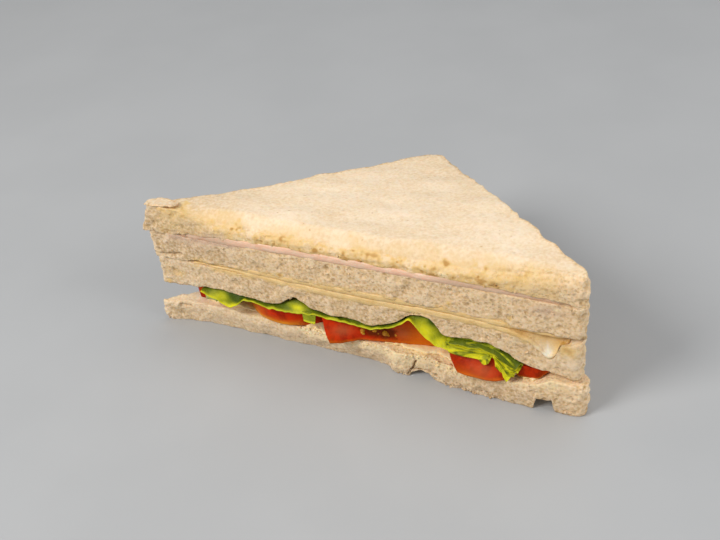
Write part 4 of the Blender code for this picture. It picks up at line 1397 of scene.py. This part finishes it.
def lower_cheese(material):
    """The lower sheet, whose front folds down into the V-shaped dip of the slice below."""
    fold = window(57.0, 66.0, 3.0)

    def plain_low(x, y):
        room = FOLD_ROOM * fold(x) * (1.0 - ease(y / FOLD_REACH / 2.0))
        return lower_slice_top(x, y) + GAP + room - CHEESE_SINKS

    def low(x, y):
        return plain_low(x, y) + beside_tip(x, y) - 0.8 * pressed(x, y)

    def high(x, y):
        plain = plain_low(x, y) + cheese_thickness(x, y) + CHEESE_RISES
        pressed_height = plain + (between_sheets(x, y) - PRESSED_SHEETS_APART - plain) * pressed(x, y)
        return np.maximum(pressed_height, low(x, y) + CHEESE_LEAST)

    plain = curve(
        (-70, 0.6), (-44, 0.3), (-30, -0.25), (48, -0.3), (56, -0.7), (64, -0.7), (66.5, -0.1), (69, 0.25),
        (72, 0.6),
    )
    set_back = wavering(plain, 0.25, ripple(55, 5.0, 16.0))
    form, _ = sheet_form(22, low, high, (10.0, 3.2), set_back, 0.4, 6)
    p = form.points
    form.push(0.16 * noise(p, 3.0, 73) + 0.08 * noise(p, 1.0, 74))
    # Painted highlight on the tip of the fold and on its upturned face.
    cream = spots(p, (63.3, 22.4, 1.5, 1.3, 1.0), (60.5, 24.0, 2.4, 1.0, 0.4))
    amber = spots(p, (68.5, 26.6, 4.0, 1.8, 0.85), (64.5, 27.2, 4.0, 1.0, 0.7), (56.0, 27.6, 4.0, 0.7, 0.35))
    form.masks.update(amber=amber, cream=cream)
    form.piece("lower_cheese_sheet", material, "cheese", "cheese_lower")


def upper_cheese(material):
    """The upper sheet, pressed onto the lower one along the cut."""

    def high(x, y):
        return upper_slice_bottom(x, y) - GAP + CHEESE_RISES + 0.5 * pressed(x, y)

    def low(x, y):
        plain = upper_slice_bottom(x, y) - GAP - cheese_thickness(x, y)
        return plain + (between_sheets(x, y) + PRESSED_SHEETS_APART - plain) * pressed(x, y)

    plain = curve((-70, 0.5), (-44, 0.3), (-30, -0.1), (50, -0.1), (58, 0.3))
    set_back = wavering(plain, 0.25, ripple(56, 5.0, 16.0))
    form, parts = sheet_form(23, low, high, (9.0, 3.6), set_back, 0.4, 6)
    p = form.points
    form.push(0.16 * noise(p, 3.0, 75) + 0.08 * noise(p, 1.0, 76))
    amber = window(56.0, 72.0, 4.0)(p[:, 0]) * (1.0 - ease(parts / 0.6)) * 0.8
    form.masks.update(amber=amber, cream=np.zeros(len(p)))
    form.piece("upper_cheese_sheet", material, "cheese", "cheese_upper")


def ham(material):
    """One slice of ham over the whole triangle, brown towards its ends."""

    def low(x, y):
        return upper_slice_top(x, y) - HAM_SINKS

    def high(x, y):
        return top_slice_bottom(x, y) + HAM_RISES

    set_back = curve((-64, 0.6), (-46, -0.3), (28, -0.4), (50, 0.1), (72, 0.7))
    form, _ = sheet_form(24, low, high, (8.0, 4.0), set_back, 0.4, 6)
    p = form.points
    form.push(0.14 * noise(p, 3.4, 77) + 0.08 * noise(p, 0.9, 78))
    patchy = 0.35 * noise(p, 5.0, 79)
    form.masks["brown"] = np.clip(0.95 * (1.0 - window(-40.0, 30.0, 18.0)(p[:, 0])) + patchy, 0.0, 1.0)
    form.piece("ham_slice", material, "ham", "ham")


def leaf_form(seed, rim, middle, lip, thickness):
    """A thin wavy leaf whose front edge hangs a little before the cut; its painted glow and painted shade
    depend on its rise.
    """
    uneven = 0.5 * ripple(seed, 5.0, 11.0)(rim[:, 0], rim[:, 1]) * (rim[:, 1] > 1.0)
    rim = rim + outward(rim) * uneven[:, None]
    wave = ripple(seed + 1, 2.4, 6.0)
    frill_wave = ripple(seed + 2, 1.4, 2.6)

    def centre(x, y):
        front = near_cut(y, -1.0, 6.0)
        return middle(x, y) + (0.34 * wave(x, y) + 0.12 * frill_wave(x, y)) * front

    def low(x, y):
        return centre(x, y) - thickness / 2

    def high(x, y):
        return centre(x, y) + thickness / 2

    near = ((4.0, FINE), (9.0, 1.2), (EVERYWHERE, 3.5))
    form, parts, _ = layer(rim, low, high, 3, near, near, rolled_edge(0.1), no_lean, seed)
    p = form.points
    risen = (p[:, 1] + lip) / LIP_REACH
    upper = ease((parts - 0.5) / 0.4)
    mottle = noise(p, 2.6, seed)
    # Painted glow on the hanging front edge, painted shade on the upper side where the leaf rises under the
    # bread.
    form.masks["bright"] = np.clip(0.9 - 0.9 * ease(risen / 0.8) * upper + 0.3 * mottle, 0.0, 1.0)
    form.masks["dark"] = np.clip(0.9 * upper * ease((risen - 0.05 - 0.10 * mottle) / 0.3), 0.0, 1.0)
    form.masks["pale"] = np.zeros(len(p))
    return form


def smooth_line(points, along):
    """Places along a line through a few points, with its corners rounded over."""
    points = np.asarray(points, float)
    marks = np.linspace(0.0, 1.0, len(points))
    near = [np.clip(along + step, 0.0, 1.0) for step in (-0.08, -0.04, 0.0, 0.04, 0.08)]
    found = [[np.interp(part, marks, points[:, axis]) for axis in range(3)] for part in near]
    return np.mean(found, axis=0).T


def strip(base, edge, ruffle, waves, seed, folds=0.0):
    """A thin ruffled strip of leaf between its base line and its free edge, each given by a few points.

    It swings waves times along its free edge, and has lengthwise folds as well.
    """
    steps, rows = 56, 17
    along = np.linspace(0.0, 1.0, steps)
    start, end = smooth_line(base, along), smooth_line(edge, along)
    out = np.linspace(0.0, 1.0, rows)[:, None]
    sheet = start[None] + (end - start)[None] * out[:, :, None]
    facing = np.cross(np.gradient(sheet, axis=1), (end - start)[None])
    facing /= np.linalg.norm(facing, axis=2, keepdims=True)
    phase = 2.0 * math.pi * (waves * along + 0.37 * seed)
    swing = np.sin(phase)[None] * out ** 1.4 + 0.35 * np.sin(2.3 * phase + 1.0)[None] * out ** 2.5
    turn = 2.0 * math.pi * (folds * out + 0.35 * np.sin(4.0 * along + seed)[None])
    swing = 0.6 * swing + min(1.0, folds) * np.sin(turn) * ease(out / 0.15) * 1.1
    sheet = sheet + facing * (ruffle * swing)[:, :, None]
    half = 0.5 * STRIP_THICKNESS * (1.0 - 0.5 * out)[:, :, None]
    points = np.concatenate([(sheet + facing * half).reshape(-1, 3), (sheet - facing * half).reshape(-1, 3)])
    count = steps * rows
    grid = np.arange(count).reshape(rows, steps)
    a, b = grid[:-1, :-1].ravel(), grid[:-1, 1:].ravel()
    c, d = grid[1:, 1:].ravel(), grid[1:, :-1].ravel()
    front = np.concatenate([np.stack([a, b, c], axis=1), np.stack([a, c, d], axis=1)])
    ring = np.concatenate([grid[0, :-1], grid[:-1, -1], grid[-1, :0:-1], grid[:0:-1, 0]])
    after = np.roll(ring, -1)
    wall = np.concatenate([np.stack([ring, ring + count, after + count], axis=1),
                           np.stack([ring, after + count, after], axis=1)])
    form = Form(points, np.concatenate([front, front[:, ::-1] + count, wall]), {})
    share = np.tile(np.repeat(out[:, 0], steps), 2)
    hollow = np.tile((-swing * out).ravel(), 2)
    mottle = noise(points, 2.0, seed)
    streaks = noise(points * (0.5, 1.0, 1.4), 0.9, seed + 50)
    # Painted glow towards the free edge, and painted shade in the hollows of the ruffles.
    bright = 0.25 + 0.9 * ease((share - 0.2) / 0.6) + 0.3 * mottle + 0.3 * streaks
    form.masks["bright"] = np.clip(bright, 0.0, 1.0)
    dark = 0.5 - 0.95 * share + 1.1 * ease((hollow - 0.2) / 0.5) + 0.25 * mottle - 0.4 * streaks
    form.masks["dark"] = np.clip(dark, 0.0, 1.0)
    form.masks["pale"] = np.zeros(len(points))
    return form


def main_leaf(material):
    """The large leaf under most of the lower slice, with a small square flap and a pale scrap below it."""
    limits = [(-1, 0, 57.5), (1, 0, 46.0), (0, -1, LEAF_LIP), *leg_limits(2.8)]
    form = leaf_form(31, cut_piece((-6.0, 18.0), 90.0, limits), leaf_middle, LEAF_LIP, MAIN_LEAF_THICKNESS)
    p = form.points
    # Painted shade in three shaded hollows and painted light on four lit places.
    hollow = spots(p, (-44.2, 18.3, 2.8, 1.7, 1.0), (27.2, 24.4, 2.2, 1.8, 0.75), (23.5, 25.8, 3.0, 0.6, 0.6))
    lit = spots(p, (-50.5, 16.8, 4.0, 1.8, 0.8), (-20.5, 19.2, 3.2, 1.2, 1.0), (24.6, 21.4, 4.5, 4.0, 1.0),
                (29.5, 17.8, 3.5, 2.0, 1.0))
    form.masks["dark"] = np.clip(form.masks["dark"] * (1.0 - lit) + hollow, 0.0, 1.0)
    plain = 1.0 - 0.6 * window(-40.0, 17.0, 4.0)(p[:, 0])
    form.masks["bright"] = np.clip(np.maximum(form.masks["bright"] * plain, lit) - hollow, 0.0, 1.0)
    flap = strip([(-18.6, -0.6, 18.6), (-13.4, -0.6, 18.6)], [(-18.2, -1.3, 15.0), (-13.8, -1.3, 14.8)],
                 0.2, 0.8, 33)
    # Painted light on the lower part of the flap and painted shade on its upper part.
    flap.masks["bright"] *= 0.3 + 0.5 * (flap.points[:, 2] < 15.6)
    flap.masks["dark"] = np.maximum(flap.masks["dark"], 0.45 * (flap.points[:, 2] > 15.8))
    scrap = strip([(-58.0, 1.8, 17.0), (-52.0, 1.8, 16.6)], [(-57.0, 0.8, 13.9), (-52.4, 0.8, 13.6)],
                  0.3, 1.2, 34)
    scrap.masks["pale"] += 0.8
    form.add(flap)
    form.add(scrap)
    form.piece("lettuce_main_leaf", material, "lettuce", "lettuce_leaf")


def frilly_bunch(material):
    """Crumpled leaf at the right: a folded body with ruffled strips before it, down to a hanging tip."""
    limits = [(-1, 0, -32.6), (0, -1, FRILL_LIP - 0.9), *leg_limits(4.0)]
    form = leaf_form(32, cut_piece((43.0, 6.0), 13.5, limits), frill_middle, FRILL_LIP, FRILL_THICKNESS)
    # Each strip: base line, free edge, how far it swings, how often, and its lengthwise folds.
    strips = (
        ([(31, 1.4, 20.2), (38, 1.2, 21.0), (44, 1.2, 21.2), (49, 1.4, 19.4)],
         [(31.5, -0.8, 17.6), (37, -1.4, 17.8), (43, -1.6, 18.0), (48, -1.2, 16.8)], 0.5, 1.6, 2.2),
        ([(30.5, 0.2, 18.6), (37, 0.2, 19.0), (43, 0.2, 18.6), (46, 0.2, 17.8)],
         [(32.5, -1.9, 15.9), (37, -2.2, 15.8), (42, -2.3, 16.1), (45.5, -2.2, 15.6)], 0.35, 1.4, 1.1),
        ([(42.5, -0.6, 18.0), (44.5, -0.8, 17.8), (46.5, -0.6, 17.4)],
         [(42.8, -2.4, 15.9), (44.4, -2.9, 14.6), (46.0, -2.3, 15.4)], 0.35, 1.3, 0.8),
        ([(44.5, 0.8, 20.6), (48.5, 0.8, 18.8), (52.5, 0.8, 16.4), (56, 1.0, 14.8)],
         [(46.0, -1.2, 18.0), (48.5, -1.8, 15.6), (51.5, -2.2, 13.4), (55, -1.4, 13.0)], 0.55, 2.2, 2.3),
        ([(46.5, 0.0, 18.0), (50, -0.2, 16.0), (54, 0.0, 14.0)],
         [(47.6, -1.9, 14.4), (50.6, -2.5, 12.0), (53.8, -2.0, 11.6)], 0.45, 1.7, 1.3),
        ([(49.0, -1.4, 14.6), (51.2, -1.6, 13.6), (53.2, -1.4, 13.0)],
         [(50.3, -2.5, 11.4), (51.5, -2.8, 9.5), (52.8, -2.4, 11.6)], 0.25, 1.0, 0.0),
    )
    for number, (base, edge, ruffle, waves, folds) in enumerate(strips):
        form.add(strip(base, edge, ruffle, waves, 35 + number, folds))
    form.piece("lettuce_frilly_bunch", material, "lettuce", "lettuce_frill")


def tomato_form(rim, foot_out, number):
    """A piece of a tomato slice between the spread and the leaves; foot_out(x) pushes its front foot out.

    It also gives each point's level.
    """
    front = rim[:, 1].min()

    def low(x, y):
        return spread_top(x, y) - TOMATO_SINKS

    def high(x, y):
        return cover(x, y) + TOMATO_RISES

    def lean(x, y, part):
        out = foot_out(x) * (1.0 - ease((y - front - 1.0) / 6.0)) * (1.0 - part)
        return 1.1 * out, -out

    near = ((5.0, FINE), (EVERYWHERE, 1.5))
    rows = round(TOMATO_HEIGHT / FINE)
    form, parts, _ = layer(rim, low, high, rows, near, near, rolled_edge(0.35), lean, number)
    return form, parts


def painted_rind_glow(form, parts, number):
    """Painted glow of the rind along the foot of a piece, strongest on the second one."""
    strength = (0.0, 0.95, 0.30, 0.25, 0.45)[number - 1]
    tall = 0.34 if number == 2 else 0.2
    glow = (1.0 - ease((parts - 0.06 * noise(form.points, 3.0, 97)) / tall)) * strength
    if number == 2:
        glow = glow * window(-46.0, -22.0, 8.0)(form.points[:, 0])
    return glow


def tomato_finish(form, parts, number):
    """Uneven wet flesh, with its gel, pale flesh, orange places, a painted glow along the rind, two painted
    highlights and painted shade on the fifth piece.
    """
    p = form.points
    gel = spots(p, (4.6, 13.6, 3.4, 3.4, 1.0), (9.8, 13.2, 3.2, 3.0, 1.0))
    gel = ease((gel + 0.3 * noise(p, 2.0, 96) - 0.25) / 0.45) * (number == 3)
    # Pale flesh; the spots at (46.5, 8.4) and (22.0, 19.0) are painted highlights.
    flesh = spots(
        p, (46.5, 8.4, 2.6, 1.1, 1.0), (44.0, 12.0, 5.0, 2.6, 0.5), (-4.5, 14.0, 3.6, 1.8, 0.6),
        (15.0, 14.5, 2.6, 2.4, 0.55), (22.0, 19.0, 0.5, 0.5, 1.0),
    )
    # Orange flesh; the first spot, at the left end of the second piece, is a painted glow.
    orange = spots(
        p, (-40.0, 12.0, 5.0, 5.0, 1.0), (-30.0, 10.0, 8.0, 2.0, 0.8), (-10.0, 9.5, 3.4, 2.4, 0.35),
        (-60.0, 15.0, 3.0, 3.0, 0.5), (21.0, 13.0, 8.0, 7.0, 1.0), (38.0, 9.0, 6.0, 2.6, 0.6),
        (64.5, 12.2, 2.4, 2.4, 0.9),
    )
    rind = painted_rind_glow(form, parts, number)
    form.push(0.16 * noise(p, 3.0, 80 + number) + 0.06 * noise(p, 1.0, 90 + number) - 0.7 * gel)
    # Painted shade over the fifth piece, kept in the gel mask.
    painted_shade_fifth = 0.35 * (number == 5) * (1.0 - orange)
    form.masks.update(gel=np.maximum(gel, painted_shade_fifth), flesh=flesh * (1.0 - gel), rind=rind, orange=orange)


def tomatoes(material, seed_finish):
    """Five pieces along the cut, left to right: centre, radius, trimming lines, how far the foot is out."""
    third_foot = curve((-12, 3.0), (-7, 2.4), (2, 0.0))
    fourth_foot = curve((32, 3.4), (38, 3.9), (44, 3.6), (50, 1.4), (52, 0.0))
    pieces = (
        ((-56.0, 11.0), 9.0, [(0, -1, -5.0)], flush),
        ((-28.5, 20.5), 20.0, [(1, 0, -12.8)], flush),
        ((10.0, 17.0), 28.0, [(-1, 0, 12.0), (1, 0, 31.0), (0.165, -1, -1.2)], third_foot),
        ((42.0, 9.0), 16.0, [(-1, 0, -31.8), (1, 0, 52.2), (0, -1, 0.4)], fourth_foot),
        ((57.4, 7.6), 7.8, [(-1, 0, -53.0), (0, -1, -0.4)], flush),
    )
    for number, (centre, radius, limits, foot_out) in enumerate(pieces, 1):
        rim = cut_piece(centre, radius, limits + leg_limits(TOMATO_INSET))
        form, parts = tomato_form(rim, foot_out, number)
        tomato_finish(form, parts, number)
        form.piece(f"tomato_piece_{number}", material, "tomato", f"tomato_{number}")
        if number == 3:
            tomato_seeds(form, seed_finish)


def tomato_seeds(form, material):
    """Seeds in the jelly pocket of the large piece."""
    marks = ((2.0, 14.0), (2.1, 12.9), (5.6, 14.0), (9.0, 13.4), (10.0, 12.3), (6.8, 12.2), (12.4, 13.6))
    sizes = np.array([1.1, 1.0, 1.2, 1.4, 1.0, 0.7, 0.7])
    sunk = (0.0, 0.35, 0.0)
    seeds = lumps(front_places(form, marks) + sunk, sizes, 0.6, 0.08, 57)
    seeds.piece("tomato_seeds", material, "tomato")


# ---- Floor, light and camera ----


def stage():
    """Pale floor, far wider than the sandwich."""
    mesh = bpy.data.meshes.new("floor")
    turns = ((-1, -1), (1, -1), (1, 1), (-1, 1))
    mesh.from_pydata([(x * FLOOR_REACH, y * FLOOR_REACH, 0.0) for x, y in turns], [], [(0, 1, 2, 3)])
    floor = bpy.data.objects.new("floor", mesh)
    bpy.context.scene.collection.objects.link(floor)
    s = Shading("pale_floor")
    colour = s.mix(s.patches(60.0), (0.425, 0.435, 0.445), (0.44, 0.45, 0.46))
    mesh.materials.append(s.finish(Base_Color=colour, Roughness=0.55))


def area_light(name, place, size, power, colour=(1.0, 1.0, 1.0)):
    """Round soft light that faces the sandwich."""
    data = bpy.data.lights.new(name, "AREA")
    data.shape = "DISK"
    data.size = size
    data.energy = power
    data.color = colour
    light = bpy.data.objects.new(name, data)
    light.location = place
    light.rotation_euler = (Vector(LIT_PLACE) - Vector(place)).to_track_quat("-Z", "Y").to_euler()
    bpy.context.scene.collection.objects.link(light)


def lights():
    """Warm key light from the front left, two fills and a soft white room."""
    area_light("key_light", (-0.45, -0.60, 0.70), 0.45, 6.8, (1.0, 0.98, 0.95))
    area_light("top_fill", (0.10, 0.25, 0.90), 0.6, 1.4)
    area_light("right_fill", (0.75, -0.05, 0.45), 0.5, 2.4)
    world = bpy.data.worlds.new("soft_room")
    world.use_nodes = True
    background = world.node_tree.nodes["Background"]
    background.inputs["Color"].default_value = (1.0, 1.0, 1.0, 1.0)
    background.inputs["Strength"].default_value = 0.38
    bpy.context.scene.world = world


def camera():
    """Looks down on the cut face from the right."""
    data = bpy.data.cameras.new("camera")
    data.lens = CAMERA_LENS
    data.sensor_width = 36.0
    view = bpy.data.objects.new("camera", data)
    forward = Vector(CAMERA_FORWARD)
    up = Vector(CAMERA_UP)
    right = forward.cross(up)
    from_centre = [at - middle for at, middle in zip(CAMERA_PLACE, (*PLAN_CENTRE, 0.0))]
    place = Vector(from_centre) * MM
    axes = Matrix((right, up, -forward)).transposed().to_4x4()
    view.matrix_world = Matrix.Translation(place) @ axes
    bpy.context.scene.collection.objects.link(view)
    bpy.context.scene.camera = view


def main():
    """Makes the layers from the bottom up, then the crumbs, and the scene round them."""
    bread = bread_material()
    cheese = cheese_material()
    lettuce = lettuce_material()
    bottom, bottom_fray = bottom_slice(bread)
    spread(spread_material(), bottom)
    tomatoes(tomato_material(), seed_material())
    main_leaf(lettuce)
    frilly_bunch(lettuce)
    lower, lower_fray = lower_slice(bread)
    lower_cheese(cheese)
    upper_cheese(cheese)
    upper, upper_fray = upper_slice(bread)
    ham(ham_material())
    top, top_fray = top_slice(bread)
    tip_flake(bread)
    loose_crumbs(bread, (
        (bottom, bottom_fray, 170), (lower, lower_fray, 40), (upper, upper_fray, 50), (top, top_fray, 110),
    ))
    stage()
    lights()
    camera()
    bpy.context.scene.view_settings.view_transform = "Standard"


main()
